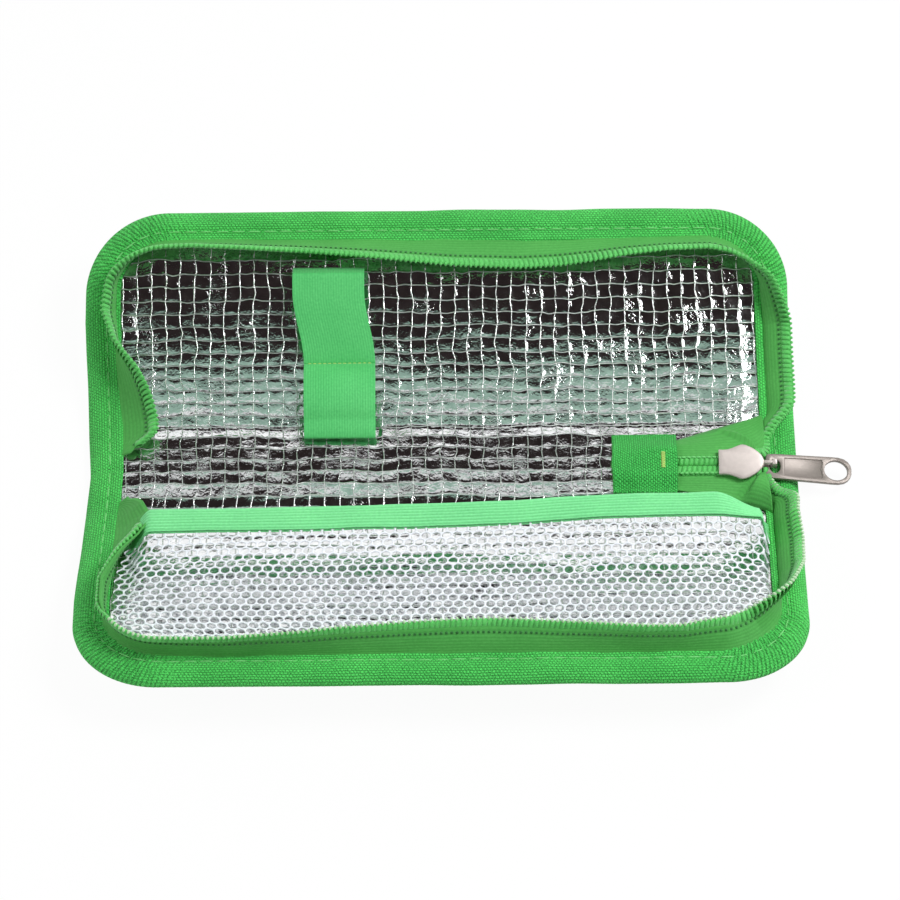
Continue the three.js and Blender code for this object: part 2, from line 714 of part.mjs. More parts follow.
const spine = new THREE.Group();
spine.name = 'spine';
spine.position.y = -SPINE_DEPTH / 2;
spine.add(node('spine_outer_panel', spineCloth(), 'cloth'));
spine.add(node('spine_foam_pad', spineLayer(LINING_INSET, padLow, padHigh), 'foam'));
spine.add(node('spine_foil_lining', spineLayer(LINING_INSET, STACK - FOIL, STACK), 'foil'));
spine.add(node('spine_binding_left', spineBinding(-1), 'webbing'));
spine.add(node('spine_binding_right', spineBinding(1), 'webbing'));
spine.add(node('zipper_end_tab', endTab(), 'webbing'));
spine.add(node('tail_tape_upper', tailTape(1), 'tape'));
spine.add(node('tail_tape_lower', tailTape(-1), 'tape'));
spine.add(node('tail_coil_upper', tailCoil(1), 'coil'));
spine.add(node('tail_coil_lower', tailCoil(-1), 'coil'));

const lid = new THREE.Group();
lid.name = 'lid';
lid.position.y = SPINE_DEPTH;
lid.rotation.x = rad(LID_TILT);
lid.add(...leafNodes('lid', onLid, lidLean));
lid.add(node('elastic_pen_loops', penLoops(), 'elastic'));

const slider = new THREE.Group();
slider.name = 'slider';
slider.position.y = CHAIN_LINE;
const reachDown = CHAIN_LINE - STACK - COIL_WIDTH / 2 - 1.6;
const reachUp = SPINE_DEPTH - CHAIN_LINE - STACK - COIL_WIDTH / 2 - 1.6;
slider.add(node('slider_body', sliderBody(), 'metal'));
slider.add(node('lead_coil_upper', leadCoil(1, reachUp), 'coil'));
slider.add(node('lead_coil_lower', leadCoil(-1, reachDown), 'coil'));

const pull = new THREE.Group();
pull.name = 'pull';
pull.position.set(NOSE + 0.5 + PULL_BAR / 2, 0, CHAIN_HEIGHT);
pull.rotation.y = rad(PULL_DROOP);
pull.add(node('pull_tab', pullTab(), 'metal'));

slider.add(pull);
spine.add(base, lid, slider);
group.add(spine);

export default group;
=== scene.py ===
import math
import bpy
import numpy as np
from mathutils import Matrix, Vector


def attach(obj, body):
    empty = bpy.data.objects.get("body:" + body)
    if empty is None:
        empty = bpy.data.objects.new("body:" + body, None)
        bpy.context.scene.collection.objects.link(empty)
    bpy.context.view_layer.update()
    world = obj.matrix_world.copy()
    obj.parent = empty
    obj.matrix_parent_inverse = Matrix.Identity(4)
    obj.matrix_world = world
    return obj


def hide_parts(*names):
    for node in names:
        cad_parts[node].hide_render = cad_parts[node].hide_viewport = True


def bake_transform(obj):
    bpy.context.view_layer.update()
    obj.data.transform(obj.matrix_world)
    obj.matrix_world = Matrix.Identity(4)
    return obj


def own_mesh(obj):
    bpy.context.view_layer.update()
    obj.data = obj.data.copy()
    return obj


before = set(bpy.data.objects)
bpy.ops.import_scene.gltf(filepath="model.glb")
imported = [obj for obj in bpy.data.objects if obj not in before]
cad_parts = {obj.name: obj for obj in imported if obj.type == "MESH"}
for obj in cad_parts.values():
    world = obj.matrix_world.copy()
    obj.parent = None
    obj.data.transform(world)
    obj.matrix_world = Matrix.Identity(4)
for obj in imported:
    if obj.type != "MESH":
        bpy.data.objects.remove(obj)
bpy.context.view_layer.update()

LEAVES = ("base", "lid")

# Sizes of the case in millimetres, as in the frame
MM = 0.001
HALF = 102.0
LEAF = 69.0
SPINE = 29.0
CORNER = 24.0
SIDE = LEAF - CORNER
ARC = CORNER * math.pi / 2
EDGE = 2 * (HALF - CORNER)
RIM = 2 * SIDE + 2 * ARC + EDGE
MID_SPINE = SPINE / 2
BASE_TILT = math.radians(12.5)
LID_TILT = math.radians(6)
LID_CURL = math.radians(30) / LEAF

# Layers: inset from the case's edge, height over its outer face, thickness
OUTER_INSET = 2.6
OUTER_H = 0.45
OUTER_THICK = 0.8
FOAM_INSET = 12.0
FOAM_H = 2.3
FOAM_THICK = 2.0
FOIL_INSET = 10.2
LINING_INSET = 10.4
LINING_H = 5.0
BINDING_THICK = 0.7

# Zipper
SEAM_U = 9.6
TAPE_THICK = 0.55
TAPE_WIDE = 9.5
COIL_PITCH = 1.45
COIL_BAND = 3.1
COIL_ROD = 0.3
COIL_SLANT = 0.16
COIL_BEHIND = 1.05
SEWN_AT = 0.8
SEWN_OUT = 0.34
CHAIN_ROLL = math.radians(18)
CHAIN_Y = -2.4
CHAIN_Z = 8.5
TAIL_LONG = 52.0
TAIL_WIDE = 9.0
SLIDER_BACK = 79.0
SLIDER_NOSE = 91.9
TAB_LEFT = 48.8
TAB_RIGHT = 67.2
TAB_LOW = -8.5
TAB_HIGH = 11.4
TAB_THICK = 1.2
PIVOT_X = 93.0
PULL_DROOP = math.radians(8)
PULL_ROLL = math.radians(10)

# Lining, pocket and strap
SCRIM = 4.15
WARP_HALF = 0.038
WEFT_HALF = 0.052
FOIL_DULL = (0.62, 0.63, 0.64, 1)
FOIL_BRIGHT = (0.8, 0.81, 0.81, 1)
FOIL_SCRIM = (0.84, 0.86, 0.85, 1)
POCKET_LEFT = 89.0
POCKET_RIGHT = 92.0
HEM_WIDTH = 7.6
HEM_RIB = 0.95
HEM_SLOPE = 0.22
HEM_THICK = 0.45
HEM_LOW = 15.9
HEM_HIGH = 19.5
HEM_SEWN = 7.0
POCKET_FLOOR = 6.1
NET_INSET = 12.75
NET_GAUGE = 0.62
STRAP_WIDTH = 20.6
STRAP_X = -29.1
UPPER_STRAP_X = -32.1
STRAP_LOW = -5.2
STRAP_HIGH = 51.0
STRAP_LONG = 54.0
STRAP_THICK = 0.9
STRAP_SEAM = 0.46
LOOP_HIGH = 5.2
UPPER_LOOP_HIGH = 6.3


def smooth(x, low, high):
    """Eases from 0 at low to 1 at high."""
    t = np.clip((x - low) / (high - low), 0.0, 1.0)
    return t * t * (3 - 2 * t)


def mix(a, b, t):
    return a + (b - a) * t


def lattice(i, j, seed):
    """A repeatable number from 0 to 1 for each lattice point."""
    k = np.sin(i * 127.1 + j * 311.7 + seed * 74.7) * 43758.5453
    return k - np.floor(k)


def noise(x, y, seed):
    """Smooth noise from -1 to 1, about one swing per unit."""
    i = np.floor(x)
    j = np.floor(y)
    fx = smooth(x - i, 0.0, 1.0)
    fy = smooth(y - j, 0.0, 1.0)
    low = mix(lattice(i, j, seed), lattice(i + 1, j, seed), fx)
    high = mix(lattice(i, j + 1, seed), lattice(i + 1, j + 1, seed), fx)
    return 2 * mix(low, high, fy) - 1


def swells(x, y, *terms):
    """Sum of noises, each given as height, length along x, length along y and seed."""
    return sum(height * noise(x / long, y / wide, seed) for height, long, wide, seed in terms)


def cubic(p0, p1, p2, p3, k):
    """Curve from p0 to p3 that is drawn towards p1 and p2."""
    return (1 - k) ** 3 * p0 + 3 * k * (1 - k) ** 2 * p1 + 3 * k * k * (1 - k) * p2 + k ** 3 * p3


# Section of the open case: v runs from the front edge over both folds to the lid's far edge
PANEL_STEP = 0.25
FOLD_HALF = 4.0
PANEL_V = np.arange(-LEAF - FOLD_HALF, SPINE + LEAF + FOLD_HALF, PANEL_STEP)
PANEL_ANGLE = LID_TILT * smooth(PANEL_V, SPINE - FOLD_HALF, SPINE + FOLD_HALF)
PANEL_ANGLE += LID_CURL * np.maximum(PANEL_V - SPINE, 0)
PANEL_ANGLE -= BASE_TILT * smooth(-PANEL_V, -FOLD_HALF, FOLD_HALF)
PANEL_Y = np.cumsum(np.cos(PANEL_ANGLE)) * PANEL_STEP
PANEL_Y -= np.interp(MID_SPINE, PANEL_V, PANEL_Y)
PANEL_Z = np.cumsum(np.sin(PANEL_ANGLE)) * PANEL_STEP
PANEL_Z -= np.interp(MID_SPINE, PANEL_V, PANEL_Z)

# Shift of the soft sides along the case, by v
WAIST_V = [-69, -35, 14, 65, 98]
WAIST_LEFT = [-0.6, -0.9, 1.3, -1.2, -0.9]
WAIST_RIGHT = [0.0, 0.0, 0.0, -0.5, -0.5]


def waist(x, v):
    """The left side draws in at the spine and stands out at the leaves; the right draws in at the lid."""
    left = np.interp(v, WAIST_V, WAIST_LEFT)
    right = np.interp(v, WAIST_V, WAIST_RIGHT)
    return np.where(x < 0, left, right) * np.minimum(1.0, (x / HALF) ** 2)


def panel(x, v, h):
    """Point at x along the case, v across it, and h up from the outer face."""
    x, v, h = np.broadcast_arrays(np.asarray(x, float), v, h)
    angle = np.interp(v, PANEL_V, PANEL_ANGLE)
    y = np.interp(v, PANEL_V, PANEL_Y) - h * np.sin(angle)
    z = np.interp(v, PANEL_V, PANEL_Z) + h * np.cos(angle)
    return np.stack([x + waist(x, v), y, z], axis=-1)


def leaf_v(leaf, t):
    return -t if leaf == "base" else SPINE + t


def half_at(t, inset):
    """Half length of a leaf at t from its fold, drawn in by an inset."""
    radius = CORNER - inset
    d = np.clip(t - SIDE, 0.0, radius)
    return HALF - CORNER + np.sqrt(radius * radius - d * d)


def rim(run):
    """Rim point and inward direction by running length; it goes on past both folds."""
    turn_a = (run - SIDE) / CORNER
    turn_b = (run - SIDE - ARC - EDGE) / CORNER
    where = [run <= SIDE, run <= SIDE + ARC, run <= SIDE + ARC + EDGE, run <= SIDE + 2 * ARC + EDGE]
    zero = np.zeros_like(run)
    px = np.select(where, [
        zero - HALF,
        -HALF + CORNER - CORNER * np.cos(turn_a),
        -HALF + CORNER + run - SIDE - ARC,
        HALF - CORNER + CORNER * np.sin(turn_b),
    ], HALF)
    pt = np.select(where, [
        run,
        SIDE + CORNER * np.sin(turn_a),
        zero + LEAF,
        SIDE + CORNER * np.cos(turn_b),
    ], RIM - run)
    nx = np.select(where, [zero + 1, np.cos(turn_a), zero, -np.sin(turn_b)], -1.0)
    nt = np.select(where, [zero, -np.sin(turn_a), zero - 1, -np.cos(turn_b)], 0.0)
    return px, pt, nx, nt


def on_rim(leaf, run, u, h):
    px, pt, nx, nt = rim(run)
    return panel(px + nx * u, leaf_v(leaf, pt + nt * u), h)


# Mesh helpers
def deselect():
    bpy.ops.object.select_all(action="DESELECT")


def finish_modifier(piece, modifier):
    bpy.context.view_layer.objects.active = piece
    bpy.ops.object.modifier_apply(modifier=modifier.name)


def edit_all(piece, step, **settings):
    """Takes one edit-mode step on the whole of a piece."""
    bpy.context.view_layer.objects.active = piece
    bpy.ops.object.mode_set(mode="EDIT")
    bpy.ops.mesh.select_all(action="SELECT")
    step(**settings)
    bpy.ops.object.mode_set(mode="OBJECT")


def face_outwards(piece):
    edit_all(piece, bpy.ops.mesh.normals_make_consistent, inside=False)


def shade(piece, angle=180.0):
    deselect()
    piece.select_set(True)
    bpy.context.view_layer.objects.active = piece
    if angle >= 180:
        bpy.ops.object.shade_smooth()
    else:
        bpy.ops.object.shade_smooth_by_angle(angle=math.radians(angle))


def cloth_grid(name, steps_a, steps_b, place, material, thickness=0.0):
    """A grid whose points are moved by place(a, b); its UV map holds millimetres of cloth."""
    deselect()
    bpy.ops.mesh.primitive_grid_add(x_subdivisions=steps_a, y_subdivisions=steps_b, size=2)
    piece = bpy.context.object
    piece.name = name
    mesh = piece.data
    mesh.name = name
    flat = mesh_points(piece)
    points, cloth = place((flat[:, 0] + 1) / 2, (flat[:, 1] + 1) / 2)
    mesh.vertices.foreach_set("co", (points * MM).ravel())
    corners = np.empty(len(mesh.loops), dtype=np.int32)
    mesh.loops.foreach_get("vertex_index", corners)
    mesh.uv_layers.active.name = "cloth"
    mesh.uv_layers["cloth"].data.foreach_set("uv", np.stack(cloth, axis=-1)[corners].ravel())
    mesh.update()
    if thickness:
        wall = piece.modifiers.new("wall", "SOLIDIFY")
        wall.thickness = thickness * MM
        wall.offset = 0
        finish_modifier(piece, wall)
        face_outwards(piece)
    mesh.materials.append(material)
    shade(piece)
    return piece


def mesh_points(piece):
    points = np.empty(len(piece.data.vertices) * 3)
    piece.data.vertices.foreach_get("co", points)
    return points.reshape(-1, 3)


def repeat(name, model, places, material):
    """Copies a small model to each place, a row of origins and three axes, as one mesh."""
    points = mesh_points(model)
    faces = [list(face.vertices) for face in model.data.polygons]
    origins, along, across, up = (np.asarray(p, float) for p in places)
    copies = (
        origins[:, None, :]
        + points[None, :, 0:1] * along[:, None, :]
        + points[None, :, 1:2] * across[:, None, :]
        + points[None, :, 2:3] * up[:, None, :]
    )
    every = []
    for k in range(len(origins)):
        start = k * len(points)
        every.extend([start + i for i in face] for face in faces)
    mesh = bpy.data.meshes.new(name)
    mesh.from_pydata((copies.reshape(-1, 3) * MM).tolist(), [], every)
    mesh.update()
    piece = add_object(name, mesh)
    mesh.materials.append(material)
    shade(piece)
    return piece


def add_object(name, data):
    item = bpy.data.objects.new(name, data)
    bpy.context.collection.objects.link(item)
    return item


def drop(piece):
    mesh = piece.data
    bpy.data.objects.remove(piece)
    bpy.data.meshes.remove(mesh)


def unit(vectors):
    return vectors / np.linalg.norm(vectors, axis=-1, keepdims=True)


def along_path(points):
    """Unit direction at each point of a path."""
    return unit(np.gradient(points, axis=0))


def even_path(points, pitch):
    """Row numbers, with fractions, of places spaced evenly along a path."""
    steps = np.linalg.norm(np.diff(points, axis=0), axis=1)
    length = np.concatenate([[0], np.cumsum(steps)])
    count = int(length[-1] / pitch)
    at = (np.arange(count) + 0.5) * length[-1] / count
    return np.interp(at, length, np.arange(len(points)))


def pick(values, row):
    """Reads rows of values at fractional row numbers."""
    low = np.clip(np.floor(row).astype(int), 0, len(values) - 2)
    part = (row - low)[:, None]
    return values[low] * (1 - part) + values[low + 1] * part


# Material helpers
def wire(tree, value, socket):
    if isinstance(value, bpy.types.NodeSocket):
        tree.links.new(value, socket)
    else:
        socket.default_value = value


def calc(tree, operation, *values):
    node = tree.nodes.new("ShaderNodeMath")
    node.operation = operation
    for k, value in enumerate(values):
        wire(tree, value, node.inputs[k])
    return node.outputs[0]


def blend_colour(tree, factor, a, b):
    node = tree.nodes.new("ShaderNodeMix")
    node.data_type = "RGBA"
    wire(tree, factor, node.inputs[0])
    wire(tree, a, node.inputs[6])
    wire(tree, b, node.inputs[7])
    return node.outputs[2]


def ramp(tree, value, low, high, to_low=0.0, to_high=1.0):
    node = tree.nodes.new("ShaderNodeMapRange")
    for k, item in enumerate((value, low, high, to_low, to_high)):
        wire(tree, item, node.inputs[k])
    return node.outputs[0]


def grain(tree, vector, scale, detail=2.0, output="Fac"):
    node = tree.nodes.new("ShaderNodeTexNoise")
    node.inputs["Scale"].default_value = scale
    node.inputs["Detail"].default_value = detail
    tree.links.new(vector, node.inputs["Vector"])
    return node.outputs[output]


def stretched(tree, vector, scale):
    node = tree.nodes.new("ShaderNodeMapping")
    node.inputs["Scale"].default_value = scale
    tree.links.new(vector, node.inputs["Vector"])
    return node.outputs["Vector"]


def split(tree, vector):
    node = tree.nodes.new("ShaderNodeSeparateXYZ")
    tree.links.new(vector, node.inputs[0])
    return node.outputs


def new_group(name, inputs, outputs):
    group = bpy.data.node_groups.new(name, "ShaderNodeTree")
    for way, sockets in (("INPUT", inputs), ("OUTPUT", outputs)):
        for label, kind in sockets.items():
            group.interface.new_socket(name=label, in_out=way, socket_type="NodeSocket" + kind)
    start = group.nodes.new("NodeGroupInput")
    end = group.nodes.new("NodeGroupOutput")
    return group, start.outputs, end.inputs


def use(tree, group, values):
    node = tree.nodes.new("ShaderNodeGroup")
    node.node_tree = group
    for label, value in values.items():
        wire(tree, value, node.inputs[label])
    return node.outputs


def make_weave():
    """Rows of humped threads, each row half a thread on from the last."""
    group, given, out = new_group(
        "thread_rows",
        {"Vector": "Vector", "Along": "Float", "Across": "Float"},
        {"Height": "Float", "Hump": "Float"},
    )
    parts = split(group, given["Vector"])
    wobble = grain(group, given["Vector"], 0.7, 2.0)
    drift = grain(group, given["Vector"], 0.9, 1.0)
    u = calc(group, "DIVIDE", parts[0], given["Along"])
    u = calc(group, "MULTIPLY_ADD", wobble, 0.9, u)
    v = calc(group, "DIVIDE", parts[1], given["Across"])
    v = calc(group, "MULTIPLY_ADD", drift, 0.5, v)
    row = calc(group, "MODULO", calc(group, "FLOOR", v), 2.0)
    u = calc(group, "MULTIPLY_ADD", row, 0.5, u)

    def hump(value):
        centred = calc(group, "MULTIPLY_ADD", calc(group, "FRACT", value), 2.0, -1.0)
        return calc(group, "SUBTRACT", 1.0, calc(group, "MULTIPLY", centred, centred))

    both = calc(group, "MULTIPLY", hump(u), hump(v))
    fuzz = grain(group, given["Vector"], 3.2, 3.0)
    group.links.new(calc(group, "MULTIPLY_ADD", fuzz, 0.7, both), out["Height"])
    group.links.new(both, out["Hump"])
    return group


def make_ribs():
    """Fine cords side by side, with a finer cross thread."""
    group, given, out = new_group(
        "cord_ribs",
        {"Vector": "Vector", "Pitch": "Float", "Cross": "Float"},
        {"Height": "Float", "Rib": "Float"},
    )
    parts = split(group, given["Vector"])

    def wave(value, pitch):
        turn = calc(group, "MULTIPLY", calc(group, "DIVIDE", value, pitch), 2 * math.pi)
        return calc(group, "MULTIPLY_ADD", calc(group, "COSINE", turn), 0.5, 0.5)

    rib = wave(parts[1], given["Pitch"])
    cross = wave(parts[0], given["Cross"])
    fuzz = grain(group, given["Vector"], 4.0, 2.0)
    height = calc(group, "MULTIPLY_ADD", cross, 0.08, rib)
    group.links.new(calc(group, "MULTIPLY_ADD", fuzz, 0.3, height), out["Height"])
    group.links.new(rib, out["Rib"])
    return group


def make_drift():
    """Uneven dye: broad patches and fine specks of a darker and a lighter tone."""
    group, given, out = new_group(
        "uneven_dye",
        {"Vector": "Vector", "Dark": "Color", "Light": "Color"},
        {"Color": "Color"},
    )
    broad = grain(group, given["Vector"], 0.06, 2.0)
    fine = grain(group, given["Vector"], 1.4, 3.0)
    both = calc(group, "MULTIPLY_ADD", fine, 0.7, calc(group, "MULTIPLY", broad, 0.5))
    factor = ramp(group, both, 0.35, 0.85)
    group.links.new(blend_colour(group, factor, given["Dark"], given["Light"]), out["Color"])
    return group


WEAVE = make_weave()
RIBS = make_ribs()
DRIFT = make_drift()


def start_material(name, roughness, metallic=0.0, sheen=0.0):
    material = bpy.data.materials.new(name)
    material.use_nodes = True
    tree = material.node_tree
    shader = tree.nodes["Principled BSDF"]
    shader.inputs["Roughness"].default_value = roughness
    shader.inputs["Metallic"].default_value = metallic
    shader.inputs["Sheen Weight"].default_value = sheen
    shader.inputs["Sheen Roughness"].default_value = 0.5
    return material, tree, shader


def cloth_map(tree):
    node = tree.nodes.new("ShaderNodeUVMap")
    node.uv_map = "cloth"
    return node.outputs["UV"]


def solid_map(tree):
    """Object coordinates in millimetres."""
    node = tree.nodes.new("ShaderNodeTexCoord")
    return stretched(tree, node.outputs["Object"], (1000.0, 1000.0, 1000.0))


def raise_bump(tree, shader, height, distance, strength=1.0):
    node = tree.nodes.new("ShaderNodeBump")
    node.inputs["Distance"].default_value = distance * MM
    node.inputs["Strength"].default_value = strength
    tree.links.new(height, node.inputs["Height"])
    tree.links.new(node.outputs["Normal"], shader.inputs["Normal"])


def corner_ribs(tree, where, pitch):
    """Slanted gathers where the strip runs round the two corners, and how far they stand out."""
    run, across, _ = split(tree, where)
    middle = SIDE + ARC / 2
    first = calc(tree, "ABSOLUTE", calc(tree, "SUBTRACT", run, middle))
    second = calc(tree, "ABSOLUTE", calc(tree, "SUBTRACT", run, RIM - middle))
    share = ramp(tree, calc(tree, "MINIMUM", first, second), 13.0, 30.0, 1.0, 0.0)
    slant = calc(tree, "MULTIPLY_ADD", across, 0.35, run)
    turn = calc(tree, "MULTIPLY", slant, 2 * math.pi / pitch)
    return calc(tree, "MULTIPLY_ADD", calc(tree, "SINE", turn), 0.5, 0.5), share


def dye(tree, where, dark, light):
    return use(tree, DRIFT, {"Vector": where, "Dark": (*dark, 1), "Light": (*light, 1)})["Color"]


def shade_hollows(tree, shader, colour, hump, most, deep):
    """Base colour with painted shade: it falls to a darker tone in the hollows between threads."""
    low = ramp(tree, hump, 0.0, 0.6, most, 0.0)
    tree.links.new(blend_colour(tree, low, colour, (*deep, 1)), shader.inputs["Base Color"])


def woven(name, dark, light, along, across, depth, gathers=0.0):
    material, tree, shader = start_material(name, 0.85, sheen=0.05)
    where = cloth_map(tree)
    threads = use(tree, WEAVE, {"Vector": where, "Along": along, "Across": across})
    hump = threads["Hump"]
    height = threads["Height"]
    if gathers:
        ribs, share = corner_ribs(tree, where, gathers)
        hump = calc(tree, "MULTIPLY_ADD", share, calc(tree, "SUBTRACT", ribs, hump), hump)
        height = calc(tree, "MULTIPLY_ADD", calc(tree, "MULTIPLY", ribs, share), 0.8, height)
    # Painted shade: the hollows between threads, and the gathers round the corners, darken to this tone.
    deep = (dark[0] * 0.4, dark[1] * 0.5, dark[2] * 0.4)
    shade_hollows(tree, shader, dye(tree, where, dark, light), hump, 0.75, deep)
    raise_bump(tree, shader, height, depth)
    return material


def ribbed(name, dark, light, pitch, cross, depth, groove_shade=0.3, sheen=0.1):
    material, tree, shader = start_material(name, 0.7, sheen=sheen)
    where = cloth_map(tree)
    ribs = use(tree, RIBS, {"Vector": where, "Pitch": pitch, "Cross": cross})
    # Painted shade: the grooves between the cords darken to this tone.
    deep = (dark[0] * 0.6, dark[1] * 0.65, dark[2] * 0.6)
    shade_hollows(tree, shader, dye(tree, where, dark, light), ribs["Rib"], groove_shade, deep)
    raise_bump(tree, shader, ribs["Height"], depth)
    return material


def plain_thread(name, dark, light, roughness=0.6):
    """Spun thread or coil wire: uneven dye and fine twist on object coordinates."""
    material, tree, shader = start_material(name, roughness, sheen=0.2)
    where = solid_map(tree)
    tree.links.new(dye(tree, where, dark, light), shader.inputs["Base Color"])
    raise_bump(tree, shader, grain(tree, where, 5.0, 2.0), 0.12)
    return material


def foil_material():
    material, tree, shader = start_material("crinkled_foil", 0.2, metallic=1.0)
    where = cloth_map(tree)
    parts = split(tree, where)

    def line(value, half):
        """1 on a scrim thread, 0 beyond its half width, given as a share of the square."""
        share = calc(tree, "DIVIDE", value, SCRIM)
        near = calc(tree, "ABSOLUTE", calc(tree, "SUBTRACT", share, calc(tree, "ROUND", share)))
        away = calc(tree, "MINIMUM", calc(tree, "DIVIDE", near, half), 1.0)
        return calc(tree, "SUBTRACT", 1.0, calc(tree, "MULTIPLY", away, away))

    taut = ramp(tree, grain(tree, where, 0.7, 2.0), 0.36, 0.66, 0.25, 1.0)
    warp = calc(tree, "MULTIPLY", line(parts[0], WARP_HALF), taut)
    thread = calc(tree, "MAXIMUM", warp, line(parts[1], WEFT_HALF))
    patch = grain(tree, where, 0.3, 3.0)
    tone = blend_colour(tree, ramp(tree, patch, 0.35, 0.7), FOIL_DULL, FOIL_BRIGHT)
    tree.links.new(blend_colour(tree, thread, tone, FOIL_SCRIM), shader.inputs["Base Color"])
    gloss = ramp(tree, patch, 0.3, 0.75, 0.05, 0.13)
    tree.links.new(calc(tree, "MULTIPLY_ADD", thread, 0.32, gloss), shader.inputs["Roughness"])
    creases = tree.nodes.new("ShaderNodeTexVoronoi")
    creases.feature = "DISTANCE_TO_EDGE"
    creases.inputs["Scale"].default_value = 0.75
    bent = tree.nodes.new("ShaderNodeVectorMath")
    bent.operation = "ADD"
    tree.links.new(where, bent.inputs[0])
    tree.links.new(grain(tree, where, 0.9, 2.0, "Color"), bent.inputs[1])
    tree.links.new(bent.outputs[0], creases.inputs["Vector"])
    edge = ramp(tree, creases.outputs["Distance"], 0.0, 0.25, 0.0, 0.08)
    slack = ramp(tree, grain(tree, where, 0.1, 2.0), 0.5, 0.66, 0.09, 0.9)
    fine = calc(tree, "MULTIPLY", grain(tree, where, 1.1, 3.0), slack)
    height = calc(tree, "ADD", calc(tree, "MULTIPLY_ADD", thread, 0.9, edge), fine)
    raise_bump(tree, shader, height, 0.2)
    return material


def metal_material(name, colour, roughness, brushed, metallic):
    material, tree, shader = start_material(name, roughness, metallic=metallic)
    where = solid_map(tree)
    lines = grain(tree, stretched(tree, where, (0.5, 9.0, 9.0)), brushed, 3.0)
    spots = grain(tree, where, 0.8, 4.0)
    worn = tuple(c * 0.9 for c in colour)
    tone = blend_colour(tree, ramp(tree, spots, 0.35, 0.75), (*worn, 1), (*colour, 1))
    tree.links.new(tone, shader.inputs["Base Color"])
    gloss = ramp(tree, lines, 0.2, 0.8, roughness - 0.06, roughness + 0.1)
    tree.links.new(gloss, shader.inputs["Roughness"])
    raise_bump(tree, shader, lines, 0.02, 0.4)
    return material


def foam_material():
    material, tree, shader = start_material("closed_cell_foam", 0.95)
    where = solid_map(tree)
    cells = tree.nodes.new("ShaderNodeTexVoronoi")
    cells.inputs["Scale"].default_value = 1.6
    tree.links.new(where, cells.inputs["Vector"])
    shadow = ramp(tree, cells.outputs["Distance"], 0.0, 0.6)
    tone = blend_colour(tree, shadow, (0.62, 0.61, 0.56, 1), (0.86, 0.85, 0.8, 1))
    tree.links.new(tone, shader.inputs["Base Color"])
    raise_bump(tree, shader, cells.outputs["Distance"], 0.2)
    return material


# Cloths and threads: darker and lighter tone, pitch along and across, depth of the bump
# The woven and ribbed cloths below carry painted shade in the hollows between their threads.
BINDING_WEAVE = woven(
    "binding_webbing", (0.036, 0.455, 0.063), (0.115, 0.85, 0.15), 1.0, 0.72, 0.32, gathers=1.35)
TAB_WEAVE = woven("tab_webbing", (0.02, 0.42, 0.05), (0.09, 0.76, 0.14), 0.85, 0.64, 0.35)
OUTER_WEAVE = woven("outer_cloth", (0.03, 0.36, 0.05), (0.07, 0.5, 0.09), 0.8, 0.8, 0.12)
TAPE_KNIT = ribbed("zipper_tape", (0.046, 0.32, 0.046), (0.085, 0.43, 0.078), 0.75, 0.6, 0.03, sheen=0.05)
HEM_RIBS = ribbed(
    "hem_elastic", (0.155, 0.64, 0.25), (0.235, 0.82, 0.335), HEM_RIB, 0.45, 0.08, groove_shade=0.2)
STRAP_RIBS = ribbed("strap_elastic", (0.05, 0.46, 0.11), (0.11, 0.62, 0.18), 0.75, 0.5, 0.05, groove_shade=0.14)
COIL_WIRE = plain_thread("coil_wire", (0.06, 0.45, 0.07), (0.12, 0.62, 0.13), 0.5)
# Painted highlight: this pale tone on the base's coil heads stands in for the shine on the nylon loops.
COIL_HEAD_HIGHLIGHT = plain_thread("coil_tips_painted_highlight", (0.4, 0.66, 0.36), (0.62, 0.8, 0.56), 0.35)
# Painted shade: the sewing dots beside the coil are near-black to stand in for the shaded gaps between
# stitches.
COIL_SEWING_SHADE = plain_thread("coil_sewing_painted_shade", (0.008, 0.13, 0.014), (0.016, 0.19, 0.026))
STITCH = plain_thread("green_stitching", (0.1, 0.5, 0.1), (0.2, 0.68, 0.22))
PALE_STITCH = plain_thread("pale_stitching", (0.35, 0.58, 0.1), (0.55, 0.72, 0.2))
NET_THREAD = plain_thread("net_thread", (0.79, 0.82, 0.89), (0.89, 0.91, 0.97), 0.75)
FOIL = foil_material()
FOAM = foam_material()
SLIDER_METAL = metal_material("slider_plating", (0.6, 0.525, 0.5), 0.4, 0.4, 0.3)
PULL_METAL = metal_material("pull_plating", (0.25, 0.215, 0.195), 0.4, 1.2, 0.35)


# Camera at the photograph's angle
def add_camera():
    rise = math.radians(54.142)
    turn = math.radians(-0.245)
    roll = math.radians(-0.306)
    aim = Vector((0.002533, 0.005792, 0.005))
    away = 1.3433
    focal = 187.42
    back = Vector((math.sin(turn) * math.cos(rise), -math.cos(turn) * math.cos(rise), math.sin(rise)))
    right = Vector((math.cos(turn), math.sin(turn), 0))
    up = back.cross(right)
    tilted = right * math.cos(roll) + up * math.sin(roll)
    upright = up * math.cos(roll) - right * math.sin(roll)
    lens = bpy.data.cameras.new("camera")
    lens.lens = focal
    lens.sensor_width = 36
    lens.clip_start = 0.05
    camera = add_object("camera", lens)
    turned = Matrix((tilted, upright, back)).transposed().to_4x4()
    camera.matrix_world = Matrix.Translation(aim + back * away) @ turned
    bpy.context.scene.camera = camera


def add_lamp(name, place, aim, size, power):
    lamp = bpy.data.lights.new(name, "AREA")
    lamp.shape = "RECTANGLE"
    lamp.size = size[0]
    lamp.size_y = size[1]
    lamp.energy = power
    holder = add_object(name, lamp)
    holder.location = place
    holder.rotation_euler = (Vector(aim) - Vector(place)).to_track_quat("-Z", "Y").to_euler()


